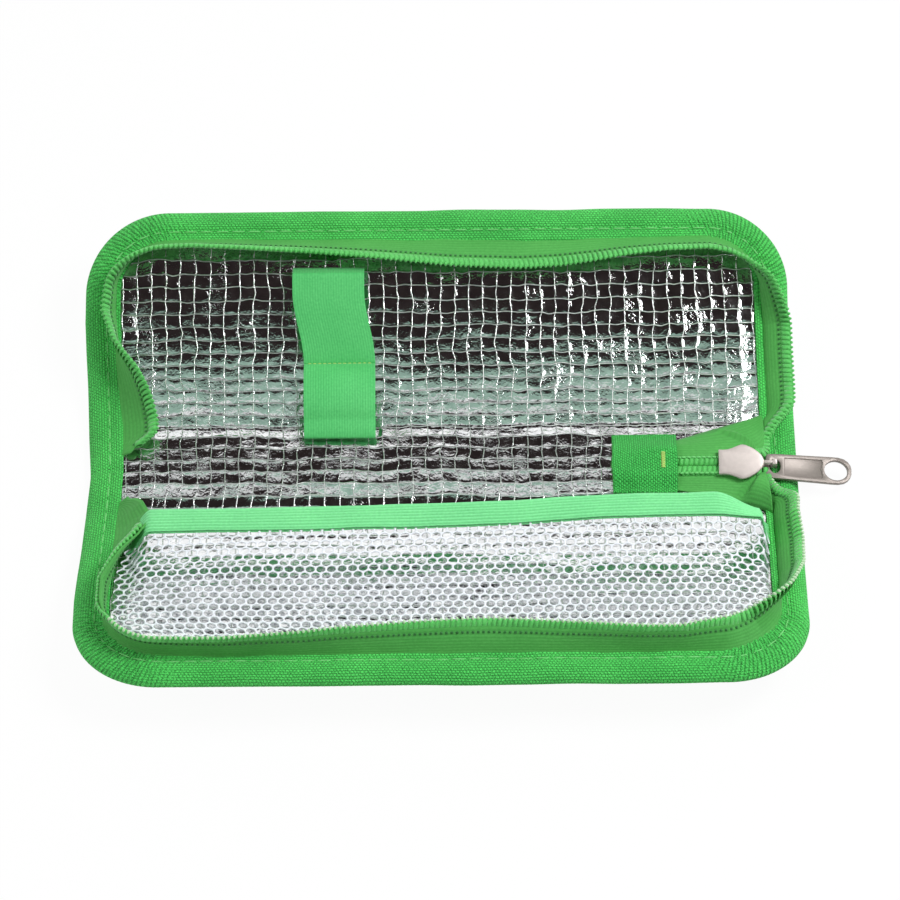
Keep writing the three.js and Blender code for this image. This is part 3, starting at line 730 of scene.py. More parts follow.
def add_world():
    """A studio: white low behind, two pale strips overhead, grey sides, dark on the camera's side."""
    world = bpy.data.worlds.new("soft_tent")
    world.use_nodes = True
    bpy.context.scene.world = world
    tree = world.node_tree
    where = tree.nodes.new("ShaderNodeTexCoord")
    sideways, back, up = split(tree, where.outputs["Generated"])
    share = calc(tree, "DIVIDE", calc(tree, "ARCTAN2", up, back), math.pi)
    stops = tree.nodes.new("ShaderNodeValToRGB")
    white = (1.0, 1.0, 1.0)
    dark = (0.027, 0.02, 0.02)
    grey = (0.4, 0.4, 0.4)
    tones = [
        (0.0, white), (0.2, white), (0.222, dark), (0.33, dark), (0.342, white), (0.368, white),
        (0.38, (0.4, 0.6, 0.49)), (0.45, (0.36, 0.53, 0.44)), (0.475, dark), (0.8, dark), (1.0, grey),
    ]
    while len(stops.color_ramp.elements) < len(tones):
        stops.color_ramp.elements.new(0.5)
    for stop, (place, tone) in zip(stops.color_ramp.elements, tones):
        stop.position = place
        stop.color = (*tone, 1)
    tree.links.new(share, stops.inputs[0])
    side = ramp(tree, calc(tree, "ABSOLUTE", sideways), 0.42, 0.75)
    tone = blend_colour(tree, side, stops.outputs[0], (0.5, 0.5, 0.5, 1))
    tree.links.new(tone, tree.nodes["Background"].inputs["Color"])
    low = ramp(tree, share, 0.2, 0.22, 1.3, 1.0)
    tree.links.new(low, tree.nodes["Background"].inputs["Strength"])


def add_floor():
    deselect()
    bpy.ops.mesh.primitive_plane_add(size=6, location=(0, 0, -0.0003))
    floor = bpy.context.object
    floor.name = "floor"
    bpy.ops.object.transform_apply(location=True, rotation=True, scale=True)
    material, tree, shader = start_material("white_floor", 0.9)
    shader.inputs["Base Color"].default_value = (0.9, 0.9, 0.9, 1)
    path = tree.nodes.new("ShaderNodeLightPath")
    seen = calc(tree, "MAXIMUM", path.outputs["Is Camera Ray"], path.outputs["Is Glossy Ray"])
    seen = calc(tree, "MAXIMUM", seen, path.outputs["Is Transmission Ray"])
    glow = tree.nodes.new("ShaderNodeEmission")
    both = tree.nodes.new("ShaderNodeMixShader")
    tree.links.new(calc(tree, "MULTIPLY", seen, 0.96), both.inputs[0])
    tree.links.new(shader.outputs[0], both.inputs[1])
    tree.links.new(glow.outputs[0], both.inputs[2])
    tree.links.new(both.outputs[0], tree.nodes["Material Output"].inputs["Surface"])
    floor.data.materials.append(material)


add_camera()
add_world()
add_lamp("key_lamp", (0.5, 0.05, 0.75), (0.0, 0.0, 0.0), (0.35, 0.35), 6.6)
add_lamp("fill_lamp", (-0.55, -0.25, 0.7), (0.0, 0.0, 0.0), (0.4, 0.3), 2.1)
add_floor()
bpy.context.scene.view_settings.view_transform = "Standard"


def fold_with(piece):
    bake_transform(piece)


def leaf_rows(leaf, b, far):
    """v between the leaf's outer edge and the middle of the spine, so that the grid faces in."""
    if leaf == "base":
        return mix(-far, MID_SPINE, b)
    return mix(MID_SPINE, SPINE + far, b)


def leaf_t(leaf, v):
    """Distance from the leaf's fold, 0 on the spine."""
    return np.maximum(-v if leaf == "base" else v - SPINE, 0.0)


def leaf_spot(leaf, a, b, inset):
    """x, v and t of a grid point that fills the leaf up to an inset."""
    v = leaf_rows(leaf, b, LEAF - inset)
    t = leaf_t(leaf, v)
    return (2 * a - 1) * half_at(t, inset), v, t


def edge_distance(x, t, inset):
    """How far a point lies inside the leaf's outline, drawn in by an inset."""
    return np.minimum(half_at(t, inset) - np.abs(x), LEAF - inset - t)


# Outer cloth and foam
def outer_cloth(leaf):
    def place(a, b):
        x, v, t = leaf_spot(leaf, a, b, OUTER_INSET)
        edge = edge_distance(x, t, OUTER_INSET)
        into_seam = 1.4 * smooth(9.5 - edge, 0.0, 2.2)
        swell = 0.25 * smooth(edge, 8.0, 20.0) * (0.5 + 0.5 * noise(x / 40, v / 30, 7))
        return panel(x, v, OUTER_H + np.maximum(into_seam - swell, 0)), (x, v)

    piece = cloth_grid(leaf + "_outer_cloth", 130, 60, place, OUTER_WEAVE, OUTER_THICK)
    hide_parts(leaf + "_outer_panel")
    fold_with(piece)


def foam_pad(leaf):
    def place(a, b):
        x, v, t = leaf_spot(leaf, a, b, FOAM_INSET)
        crown = 0.3 * smooth(edge_distance(x, t, FOAM_INSET), 0, 8)
        return panel(x, v, FOAM_H + crown - crease_depth(v) * 0.4), (x, v)

    piece = cloth_grid(leaf + "_foam", 90, 45, place, FOAM, FOAM_THICK)
    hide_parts(leaf + "_foam_pad")
    fold_with(piece)


def crease_depth(v):
    """How deep the lining dips at the base's crease and, less, at the lid's."""
    wide = 2.4
    return 0.9 * np.exp(-(v / wide) ** 2) + 0.3 * np.exp(-((v - SPINE) / wide) ** 2)


# Foil lining with its scrim squares
def lining_body(x, v):
    """The padded height of the lining, before its scrim squares; it is pressed down under the slider."""
    t = np.maximum(np.maximum(-v, v - SPINE), 0.0)
    inside = smooth(edge_distance(x, t, LINING_INSET), 0.0, 8.0)
    crown = 0.8 * np.clip(1 - ((v - MID_SPINE) / MID_SPINE) ** 2, 0, None)
    waves = swells(x, v, (0.26, 24, 15, 3), (0.12, 10, 8, 5))
    press = 1.3 * np.exp(-((x - 85) / 8) ** 2 - ((v - 9) / 6) ** 2)
    return LINING_H + 0.3 * inside + crown - crease_depth(v) + waves * inside - press


def sagging(gx, gv):
    """Lets each scrim thread bow a little between its crossings."""
    i = np.round(gx / SCRIM)
    j = np.round(gv / SCRIM)
    near_x = 1 - 2 * np.abs(gx / SCRIM - i)
    near_v = 1 - 2 * np.abs(gv / SCRIM - j)
    bow = (lattice(i, np.floor(gv / SCRIM), 26) - 0.5) * 0.7 * (1 - near_v) * near_x
    sag = (lattice(np.floor(gx / SCRIM), j, 25) - 0.3) * 0.8 * (1 - near_x) * near_v
    return gx + bow, gv + sag


def lining_point(x, v):
    """Point of the foil: each scrim square tilts and crumples by itself."""
    gx = x + swells(x, v, (0.55, 15, 8, 11), (0.3, 5, 3.2, 13))
    gv = v + swells(x, v, (0.55, 9, 14, 12), (0.34, 3.2, 5, 14))
    gx, gv = sagging(gx, gv)
    i = np.floor(gx / SCRIM)
    j = np.floor(gv / SCRIM)
    fx = 2 * (gx / SCRIM - i) - 1
    fv = 2 * (gv / SCRIM - j) - 1
    window = (1 - fx ** 4) * (1 - fv ** 4)
    tilt = window * ((lattice(i, j, 21) - 0.5) * fx + (lattice(i, j, 22) - 0.5) * fv) * 0.2
    slack = 0.2 + 0.8 * smooth(lattice(i, j, 23) + 0.5 * noise(x / 30, v / 18, 24), 0.6, 1.0)
    crumple = slack * 0.06 * np.abs(noise(x / 2.1, v / 1.6, 31))
    h = lining_body(x, v) + tilt - 0.14 * window + crumple
    return panel(x, v, h), (gx, gv)


def foil_lining(leaf):
    def place(a, b):
        x, v, _ = leaf_spot(leaf, a, b, FOIL_INSET)
        return lining_point(x, v)

    piece = cloth_grid(leaf + "_foil", 400, 150, place, FOIL)
    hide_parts(leaf + "_foil_lining")
    fold_with(piece)


# Bound edge: webbing folded round the seam, its section from the inner edge over the rim
BINDING_SECTION = np.array([
    (10.1, 5.35), (9.4, 5.5), (8.2, 5.3), (6.9, 4.75), (6.2, 4.6), (5.4, 4.75), (4.0, 4.6), (2.4, 3.95),
    (1.2, 3.1), (0.55, 2.2), (0.4, 1.5), (0.6, 0.9), (1.3, 0.52), (2.6, 0.45), (5.2, 0.45), (9.4, 0.45),
])
BINDING_U, BINDING_H = BINDING_SECTION.T
BINDING_RUN = np.concatenate([[0], np.cumsum(np.hypot(np.diff(BINDING_U), np.diff(BINDING_H)))])
KNOT_LONG = 1.5
KNOT_WIDE = 1.25
KNOT_HIGH = 0.04
STITCH_U = 6.2
STITCH_H = 5.02
STITCH_PITCH = 4.6


def corner_bend(run, start):
    """1 round the corner that starts at a running length, easing to 0 past its ends."""
    return smooth(run, start - 6, start + 4) * smooth(start + ARC + 6 - run, 0, 10)


def binding_swell(run, u):
    """Slack in the folded webbing, with gathers round the corners."""
    bend = corner_bend(run, SIDE) + corner_bend(run, RIM - SIDE - ARC)
    gather = 0.16 * bend * np.sin(2 * math.pi * (run / 3.4 + 0.12 * u))
    return gather + swells(run, u, (0.16, 9, 5, 41), (0.1, 3.1, 3, 42))


def binding(leaf):
    def place(a, b):
        run = mix(-MID_SPINE, RIM + MID_SPINE, a)
        across = b * BINDING_RUN[-1]
        u = np.interp(across, BINDING_RUN, BINDING_U)
        h = np.interp(across, BINDING_RUN, BINDING_H)
        top = smooth(h, 1.2, 3.0)
        lift = binding_swell(run, u) * top
        knots = np.sin(2 * math.pi * run / KNOT_LONG) * np.sin(math.pi * across / KNOT_WIDE) * KNOT_HIGH
        out = 0.22 * noise(run / 14, 0.0, 43) * smooth(6 - u, 0, 5)
        return on_rim(leaf, run, u + out, h + lift + knots * smooth(h, 0.5, 1.5)), (run, across)

    piece = cloth_grid(leaf + "_binding_strip", 1000, 30, place, BINDING_WEAVE, BINDING_THICK)
    spine_end = "spine_binding_left" if leaf == "base" else "spine_binding_right"
    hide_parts(leaf + "_binding", spine_end)
    fold_with(piece)


# Zipper along the rim: where tape, coil and coil heads start, and how steeply the tape's end rises
RIM_START = {"base": -2.2, "lid": -10.2}
COIL_START = {"base": 17.0, "lid": -8.2}
HEADS_START = {"base": SIDE + 14, "lid": -9.0}
FLAP_STEEP = {"base": 1.6, "lid": 2.5}
FRONT_BULGE = {"base": 1.3, "lid": 0.6}
RIM_END = RIM + 8.0
COIL_END = RIM_END - 0.5
TAPE_LEAVES = 2.8
TAPE_REACH = 6.2
FOOT_U = 10.5
FOOT_H = 6.2
# Lean of the tape in degrees, inwards positive, by share of the rim
LEAN = {
    "base": np.array([
        [0, 42], [0.021, 44], [0.033, 50], [0.051, 48], [0.065, 40], [0.084, 16], [0.117, -17],
        [0.149, -18], [0.182, -18], [0.215, -21], [0.28, -26], [0.313, -26], [0.345, -20], [0.378, -14],
        [0.411, -4], [0.443, 4], [0.476, 14], [0.509, 22], [0.541, 27], [0.574, 20], [0.607, 10],
        [0.639, 2], [0.672, -4], [0.705, -4], [0.737, 20], [0.77, 40], [0.802, 36], [0.835, 0],
        [0.868, -32], [0.9, -56], [0.933, -62], [0.966, -54], [1, -62],
    ]),
    "lid": np.array([
        [0, 64], [0.019, 52], [0.051, 26], [0.084, -16], [0.117, -42], [0.149, -30], [0.182, -10],
        [0.215, 4], [0.247, 9], [0.28, 7], [0.313, 12], [0.378, 24], [0.443, 38], [0.509, 52],
        [0.574, 62], [0.607, 61], [0.639, 50], [0.672, 36], [0.705, 25], [0.737, 22], [0.77, 22],
        [0.802, 12], [0.835, -6], [0.868, -38], [0.9, -70], [0.966, -72], [1, -68],
    ]),
}


def coil_uh(leaf, run):
    """Middle of the coil in the rim's section, and the way the tape leans there."""
    lean = np.radians(np.interp(run / RIM, LEAN[leaf][:, 0], LEAN[leaf][:, 1]))
    from_end = np.minimum((run - RIM_START[leaf] + 0.5) * FLAP_STEEP[leaf], RIM + 9 - run)
    right = 3.2 * smooth(run, 0.8 * RIM, 0.87 * RIM)
    left = 3.2 * smooth(32 - run, 0, 24)
    long = TAPE_REACH + right + left
    if leaf == "base":
        flap = 1.9 * smooth(run, 8, 15) * smooth(25 - run, 0, 10)
        long = long - 1.8 * smooth(11 - run, 0, 8) + flap
    else:
        far_side = smooth(run, 0.4 * RIM, 0.52 * RIM) * smooth(0.68 * RIM - run, 0, 0.12 * RIM)
        long = long + 1.8 * far_side
    reach = mix(1.2, long, smooth(from_end, 0, 15)) + 0.15 * noise(run / 12, 0.0, 51)
    return FOOT_U + reach * np.sin(lean), FOOT_H + reach * np.cos(lean), lean


def turned_under(leaf, run):
    """Where the base's left band shows the plain side of its tape, with the coil behind."""
    return smooth(SIDE + 16 - run, 0, 14) * (leaf == "base")


def tape_section(leaf, run, w):
    """From the seam, under the bound edge, up to the coil."""
    cu, ch, lean = coil_uh(leaf, run)
    du = np.sin(lean)
    dh = np.cos(lean)
    past = 0.6 + 1.2 * turned_under(leaf, run)
    front = smooth(run, 0.22 * RIM, 0.32 * RIM) * smooth(0.82 * RIM - run, 0, 0.1 * RIM)
    bulge = FRONT_BULGE[leaf] * front * np.sin(math.pi * np.clip((w - 0.12) / 0.88, 0, 1))
    u = cubic(SEAM_U - 4.0, SEAM_U + 1.2, cu - 3.4 * du, cu + past * du, w) - bulge
    h = cubic(3.5, 5.2, ch - 3.4 * dh, ch + past * dh, w)
    return u, h


def zipper_tape(leaf):
    def place(a, b):
        run = mix(RIM_START[leaf], RIM_END, a)
        u, h = tape_section(leaf, run, b)
        slack = 0.14 * noise(run / 7, b * 2, 61) * np.sin(math.pi * b)
        foot = np.minimum(run, RIM - TAPE_LEAVES)
        return on_rim(leaf, mix(foot, run, b), u + slack, h), (run, b * TAPE_WIDE)

    piece = cloth_grid(leaf + "_tape", 520, 12, place, TAPE_KNIT, TAPE_THICK)
    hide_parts(leaf + "_zipper_tape")
    fold_with(piece)


def coil_turn():
    """One turn of the coil: a flat ring that lies across the band."""
    deselect()
    bpy.ops.mesh.primitive_torus_add(
        major_segments=10, minor_segments=5, major_radius=1.0, minor_radius=COIL_ROD)
    turn = bpy.context.object
    edit_all(turn, bpy.ops.transform.resize, value=(COIL_BAND / 2 - COIL_ROD, 0.6, 3.3))
    points = mesh_points(turn)
    laid = np.stack([points[:, 2] + COIL_SLANT * points[:, 0], points[:, 0], points[:, 1]], axis=-1)
    turn.data.vertices.foreach_set("co", laid.ravel())
    turn.data.update()
    face_outwards(turn)
    return turn


def stitch_model(length, width, height):
    """One stitch: a short thread with rounded ends."""
    deselect()
    bpy.ops.mesh.primitive_uv_sphere_add(
        segments=8, ring_count=5, radius=0.5, rotation=(0, math.pi / 2, 0))
    bpy.ops.object.transform_apply(location=False, rotation=True, scale=False)
    stitch = bpy.context.object
    edit_all(stitch, bpy.ops.transform.resize, value=(length, width, height))
    return stitch


TURN = coil_turn()
CHAIN_STITCH = stitch_model(1.3, 0.75, 0.6)
EDGE_STITCH = stitch_model(4.0, 0.5, 0.45)
COIL_DOT = stitch_model(0.85, 0.9, 0.6)
COIL_HEAD = stitch_model(0.8, 1.1, 1.3)


def rim_frames(leaf, run, u, h, lean):
    """Origins along the rim with axes along it, up the lean, and square to both."""
    origins = on_rim(leaf, run, u, h)
    ahead = on_rim(leaf, run + 0.2, u, h)
    along = unit(ahead - origins)
    tip = on_rim(leaf, run, u + 0.3 * np.sin(lean), h + 0.3 * np.cos(lean))
    across = unit(tip - origins)
    up = np.cross(along, across)
    return origins, along, across, up


def even_run(leaf, fine, section, pitch):
    """Running lengths whose points, placed by a section, lie evenly along the rim."""
    row = even_path(on_rim(leaf, fine, *section(fine)), pitch)
    return np.interp(row, np.arange(len(fine)), fine)


def zipper_coil(leaf):
    def middle(run):
        return coil_uh(leaf, run)[:2]

    run = even_run(leaf, np.linspace(COIL_START[leaf], COIL_END, 1200), middle, COIL_PITCH)
    u, h, lean = coil_uh(leaf, run)
    origins, along, across, up = rim_frames(leaf, run, u, h, lean)
    origins = origins + up * COIL_BEHIND * turned_under(leaf, run)[:, None]
    coil = repeat(leaf + "_coil", TURN, (origins, along, across, up), COIL_WIRE)
    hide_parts(leaf + "_zipper_coil")
    fold_with(coil)
    tape_u, tape_h = tape_section(leaf, run, 0 * run + SEWN_AT)
    spots, *axes = rim_frames(leaf, run, tape_u, tape_h, lean)
    sewn = [(spots + axes[2] * side * SEWN_OUT, *axes) for side in (-1, 1)]
    joined = [np.concatenate(parts) for parts in zip(*sewn)]
    # Near-black dots: painted shade of the gaps between the coil's stitches.
    thread = repeat(leaf + "_coil_thread", COIL_DOT, joined, COIL_SEWING_SHADE)
    fold_with(thread)
    shown = run > HEADS_START[leaf]
    tips = (origins[shown] + across[shown] * COIL_BAND / 2, along[shown], across[shown], up[shown])
    # The base's coil heads take the pale painted highlight; the lid's keep the coil's own colour.
    heads = repeat(leaf + "_coil_heads", COIL_HEAD, tips, COIL_HEAD_HIGHLIGHT if leaf == "base" else COIL_WIRE)
    fold_with(heads)


def binding_stitches(leaf):
    def line(run):
        return 0 * run + STITCH_U, 0 * run + 5

    run = even_run(leaf, np.linspace(-MID_SPINE + 1, RIM + MID_SPINE - 1, 1400), line, STITCH_PITCH)
    u = 0 * run + STITCH_U
    h = STITCH_H + binding_swell(run, u)
    places = rim_frames(leaf, run, u, h, 0 * run + math.pi / 2)
    piece = repeat(leaf + "_binding_stitches", EDGE_STITCH, places, STITCH)
    fold_with(piece)


for leaf in LEAVES:
    outer_cloth(leaf)
    foam_pad(leaf)
    foil_lining(leaf)
    binding(leaf)
    zipper_tape(leaf)
    zipper_coil(leaf)
    binding_stitches(leaf)


# Net pocket and hem
def hem_setback(x):
    """How far the hem's upper edge lies from the fold."""
    return 10.9 + 1.3 * smooth(-x, 0, POCKET_LEFT)


def hem_height(x):
    """Height of the hem's upper edge, which rises to the right and is sewn down at both ends."""
    rise = mix(HEM_LOW, HEM_HIGH, smooth(x, -8, 66)) - 1.2 * smooth(x, 76, 90)
    sewn = np.maximum(smooth(x, 89.4, POCKET_RIGHT), smooth(-x, 81.5, POCKET_LEFT))
    return mix(rise, HEM_SEWN, sewn)


def flatten_pocket(piece):
    """Gives the piece its own copy of its mesh; a foot and tip over the pocket floor are worked out but
    not used.
    """
    foot, tip = panel(0.0, -0.5 * LEAF, POCKET_FLOOR + np.array([0.0, 1.0]))
    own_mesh(piece)


def pocket_hem():
    def place(a, b):
        x = mix(-POCKET_LEFT, POCKET_RIGHT, a)
        run = (2 * b - 1) * HEM_WIDTH
        across = np.abs(run)
        layer = np.clip(run / 0.8, -1, 1)
        ribs = 0.12 * np.cos(2 * math.pi * across / HEM_RIB) * layer
        rounded = 0.3 * layer * (1 + np.sin(math.pi * across / HEM_WIDTH))
        ripple = 0.25 * noise(x / 11, across / HEM_WIDTH, 71)
        dip = 5.6 * smooth(x, 76.5, 91) * (1 - across / HEM_WIDTH) * smooth(91.8 - x, 0, 1.5)
        h = hem_height(x) - 0.7 - HEM_SLOPE * across - dip + ribs + rounded + ripple
        return panel(x, -(hem_setback(x) + across), h), (x, run)

    piece = cloth_grid("pocket_hem", 260, 90, place, HEM_RIBS, HEM_THICK)
    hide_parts("pocket_elastic_hem")
    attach(piece, "base")
    flatten_pocket(piece)


def net_point(a, b):
    """Point of the net at a along the pocket and b down from its hem."""
    far = LEAF - NET_INSET
    spread = smooth(b, 0.0, 0.35)
    rim_half = half_at(mix(18, far, b), 11.0)
    x = mix(mix(-POCKET_LEFT, -rim_half, spread), mix(POCKET_RIGHT, rim_half, spread), a)
    top_t = hem_setback(x) + HEM_WIDTH - 0.9
    crest = np.maximum(hem_height(x) - HEM_SLOPE * HEM_WIDTH - 0.9, POCKET_FLOOR)
    side = smooth(a, 0, 0.13) * smooth(1 - a, 0, 0.1)
    fall = (1 - b) ** 1.25
    edge = mix(np.minimum(crest, POCKET_FLOOR + 4), crest, mix(1.0, side, smooth(b, 0, 0.3)))
    slack = 0.9 * np.abs(noise(x / 17, b * 3, 81)) * np.sin(math.pi * b)
    return panel(x, -mix(top_t, far, b), mix(POCKET_FLOOR, edge, fall) + slack)


def net_pocket():
    """Open six-sided cells, drawn as threads along their edges."""
    columns = 62
    rows = 18
    corners = {}
    points = []
    cells = []

    def corner(i, j):
        key = (round(i * 2), round(j * 3))
        if key not in corners:
            corners[key] = len(points)
            points.append((i, j))
        return corners[key]

    for j in range(rows):
        for k in range(columns - j % 2):
            i = k + 0.5 + 0.5 * (j % 2)
            cells.append([
                corner(i, j + 2 / 3), corner(i - 0.5, j + 1 / 3), corner(i - 0.5, j - 1 / 3),
                corner(i, j - 2 / 3), corner(i + 0.5, j - 1 / 3), corner(i + 0.5, j + 1 / 3),
            ])
    spots = np.array(points)
    a = np.clip(spots[:, 0] / columns, 0, 1)
    b = np.clip((spots[:, 1] + 2 / 3) / (rows + 1 / 3), 0, 1)
    mesh = bpy.data.meshes.new("net_pocket")
    mesh.from_pydata((net_point(a, b) * MM).tolist(), [], cells)
    piece = add_object("net_pocket", mesh)
    threads = piece.modifiers.new("threads", "WIREFRAME")
    threads.thickness = NET_GAUGE * MM
    threads.use_even_offset = False
    finish_modifier(piece, threads)
    rounding = piece.modifiers.new("rounding", "SUBSURF")
    rounding.levels = 1
    rounding.render_levels = 1
    finish_modifier(piece, rounding)
    mesh.materials.append(NET_THREAD)
    shade(piece)
    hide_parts("mesh_pocket")
    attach(piece, "base")
    flatten_pocket(piece)


pocket_hem()
net_pocket()


# Elastic strap with two pen loops
def strap_lift(share):
    """Height of the strap over the lining: two loops, the upper one steep at its top end."""
    crest = 0.9
    lower = np.sin(math.pi * np.clip(share / STRAP_SEAM, 0, 1)) ** 0.75
    upper = np.clip((share - STRAP_SEAM) / (1 - STRAP_SEAM), 0, 1)
    rise = np.sin(0.5 * math.pi * np.clip(upper / crest, 0, 1)) ** 0.8
    rise = np.where(upper > crest, np.clip((1 - upper) / (1 - crest), 0, 1) ** 0.8, rise)
    return np.where(share < STRAP_SEAM, LOOP_HIGH * lower, UPPER_LOOP_HIGH * rise)


def strap_point(a, b):
    t = mix(STRAP_LOW, STRAP_HIGH, b)
    x = mix(STRAP_X, UPPER_STRAP_X, smooth(b, STRAP_SEAM, 0.85)) + (a - 0.5) * STRAP_WIDTH
    ground = lining_body(x, SPINE + t) + 0.8
    cup = -0.35 * (2 * a - 1) ** 2 * smooth(strap_lift(b), 0.5, 4)
    return panel(x, SPINE + t, ground + strap_lift(b) + cup), (b * STRAP_LONG, a * STRAP_WIDTH)


def pen_loops():
    piece = cloth_grid("pen_loop_strap", 80, 150, strap_point, STRAP_RIBS, STRAP_THICK)
    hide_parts("elastic_pen_loops")
    fold_with(piece)
    a = np.linspace(0.08, 0.92, 13)
    below, seam, above = (strap_point(a, 0 * a + STRAP_SEAM + d)[0] for d in (-0.01, 0.0, 0.01))
    along = along_path(seam)
    up = unit(np.cross(along, unit(above - below)))
    places = (seam + 0.5 * up, along, np.cross(up, along), up)
    thread = repeat("strap_stitches", CHAIN_STITCH, places, PALE_STITCH)
    fold_with(thread)


pen_loops()


# Tail of the zipper on the spine: the lid's half is the upper one
TAIL_NAME = {"base": "lower", "lid": "upper"}
TAIL_SIDE = {"base": -1, "lid": 1}
TAIL_PUFF = {"base": 3.2, "lid": 1.0}
TAIL_THICK = 0.5
CHAIN_SHIFT = 0.6
UP = np.array([0.0, 0.0, 1.0])


def chain_point(x, v, w):
    """x along the chain, v across it towards the lid, w up from its middle."""
    x, v, w = np.broadcast_arrays(np.asarray(x, float), v, w)
    roll = CHAIN_ROLL * smooth(x, TAB_LEFT, TAB_RIGHT - 2)
    height = mix(7.6, CHAIN_Z, smooth(x, TAB_LEFT, TAB_RIGHT - 2))
    y = CHAIN_Y + v * np.cos(roll) - w * np.sin(roll)
    z = height + v * np.sin(roll) + w * np.cos(roll)
    return np.stack([x, y, z], axis=-1)


def chain_frames(x, v, w):
    origins = chain_point(x, v, w)
    along = unit(chain_point(x + 0.2, v, w) - origins)
    across = unit(chain_point(x, v + 0.2, w) - origins)
    return origins, along, across, np.cross(along, across)


def tail_half(leaf):
    name = TAIL_NAME[leaf]
    side = TAIL_SIDE[leaf]
    count = int((SLIDER_BACK + 5 - TAB_LEFT) / COIL_PITCH)
    x = TAB_LEFT + (np.arange(count) + (0.5 if side > 0 else 1.0)) * COIL_PITCH
    zero = 0 * x
    places = chain_frames(x, zero + side * 1.5 - CHAIN_SHIFT, zero)
    coil = repeat("tail_coil_" + name, TURN, places, COIL_WIRE)
    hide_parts("tail_coil_" + name)
    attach(coil, "spine")
    sewn = chain_frames(x + COIL_PITCH / 2, zero + side * 2.35 - CHAIN_SHIFT, zero + 0.8)
    thread = repeat("tail_thread_" + name, CHAIN_STITCH, sewn, STITCH)
    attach(thread, "spine")


def lead_path(leaf, count=60):
    """Middle of the coil from the slider's nose to the rim."""
    run = np.array([COIL_END])
    u, h, _ = coil_uh(leaf, run)
    rim_end = on_rim(leaf, run, u, h)[0]
    rim_way = unit(rim_end - on_rim(leaf, run - 0.5, u, h)[0])
    nose = chain_point(SLIDER_NOSE - 2.5, TAIL_SIDE[leaf] * 3.0, 0.0)
    k = np.linspace(0, 1, count)[:, None]
    return cubic(nose, nose + np.array([3.2, 0.0, 0.0]), rim_end + rim_way * 4.0, rim_end, k)


def lead(leaf):
    """The open coil between the slider and the rim, turned from the one's way to the other's."""
    name = TAIL_NAME[leaf]
    path = lead_path(leaf)
    way = along_path(path)
    run = np.array([COIL_END])
    u, h, lean = coil_uh(leaf, run)
    rim_across = rim_frames(leaf, run, u, h, lean)[2][0]
    zero = np.zeros(1)
    nose_across = -TAIL_SIDE[leaf] * chain_frames(zero + SLIDER_NOSE, zero, zero)[2][0]
    k = np.linspace(0, 1, len(path))[:, None]
    across = nose_across * (1 - k) + rim_across * k
    across = unit(across - way * np.sum(across * way, axis=1, keepdims=True))
    row = even_path(path, COIL_PITCH)
    origins = pick(path, row)
    along = unit(pick(way, row))
    sideways = unit(pick(across, row))
    places = (origins, along, sideways, np.cross(along, sideways))
    coil = repeat("lead_" + name, TURN, places, COIL_WIRE)
    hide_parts("lead_coil_" + name)
    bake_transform(coil)


TAIL_EDGE = {
    "lid": [(TAB_LEFT, 20.3), (67.0, 21.6), (80.0, 26.4), (92.6, SPINE + TAPE_LEAVES)],
    "base": [(TAB_LEFT, 6.0), (67.0, 4.6), (79.5, 3.0), (87.5, -1.0), (93.8, -TAPE_LEAVES - 2.5)],
}


def tail_tape(leaf):
    """One strip from under the tab to the rim: one edge on the coil, the other loose on the lining."""
    name = TAIL_NAME[leaf]
    side = TAIL_SIDE[leaf]
    middle = 0.4
    chain_x = np.linspace(TAB_LEFT, SLIDER_NOSE - 3.0, 40)
    near_line = np.concatenate([chain_point(chain_x, side * 0.05, -0.2), lead_path(leaf, 26)[1:]])
    edge = np.array(TAIL_EDGE[leaf])
    share = np.linspace(0, 1, len(near_line))
    knots = np.linspace(0, 1, len(edge))
    edge_x = np.interp(share, knots, edge[:, 0])
    edge_v = np.interp(share, knots, edge[:, 1])
    far_line = panel(edge_x, edge_v, lining_body(edge_x, edge_v) + 0.5)
    slot_line = near_line + chain_point(SLIDER_BACK, side * 4.0, -0.1) - chain_point(SLIDER_BACK, 0.0, 0.0)
    free_line = mix(near_line, far_line, middle) + TAIL_PUFF[leaf] * UP
    mid_line = mix(slot_line, free_line, smooth(share, 0.56, 0.75)[:, None])

    def place(a, b):
        row = a * (len(near_line) - 1)
        near = pick(near_line, row)
        far = pick(far_line, row)
        w = b[:, None]
        bend = pick(mid_line, row) - (1 - middle) ** 2 * near - middle ** 2 * far
        bend = bend / (2 * middle * (1 - middle))
        ripple = 0.25 * noise(a * 7, b * 2, 95)[:, None] * np.sin(math.pi * w)
        laid = near * (1 - w) ** 2 + 2 * bend * w * (1 - w) + far * w * w
        return laid + ripple * UP, (a * TAIL_LONG, b * TAIL_WIDE)

    tape = cloth_grid("tail_tape_" + name + "_cloth", 90, 14, place, TAPE_KNIT, TAIL_THICK)
    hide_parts("tail_tape_" + name)
    fold_with(tape)


for leaf in LEAVES:
    tail_half(leaf)
for leaf in LEAVES:
    lead(leaf)
    tail_tape(leaf)


# Webbing tab over the tail
def end_tab():
    def place(a, b):
        x = mix(TAB_LEFT, TAB_RIGHT, a)
        v = mix(TAB_LOW, TAB_HIGH, b)
        roof = chain_point(x, np.clip(v, -3, 3), 1.6)[:, 2]
        over = 1 - np.where(v > 0, smooth(v, 3.0, 11.2), smooth(-v, 3.0, 7.6))
        ground = lining_body(x, CHAIN_Y + v + MID_SPINE) + 0.75
        z = mix(ground, roof, over) + 0.2 * noise(x / 4, v / 5, 91)
        return np.stack([x + 0.25 * noise(v / 5, x / 9, 92), CHAIN_Y + v, z], axis=-1), (v, x)

    piece = cloth_grid("end_tab", 48, 48, place, TAB_WEAVE, TAB_THICK)
    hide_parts("zipper_end_tab")
    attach(piece, "spine")
    y = np.linspace(-1.4, 2.8, 8)
    tack = chain_frames(0 * y + TAB_RIGHT - 4.0, y, 0 * y + 2.3)
    thread = repeat("tab_stitches", CHAIN_STITCH, tack, PALE_STITCH)
    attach(thread, "spine")


end_tab()


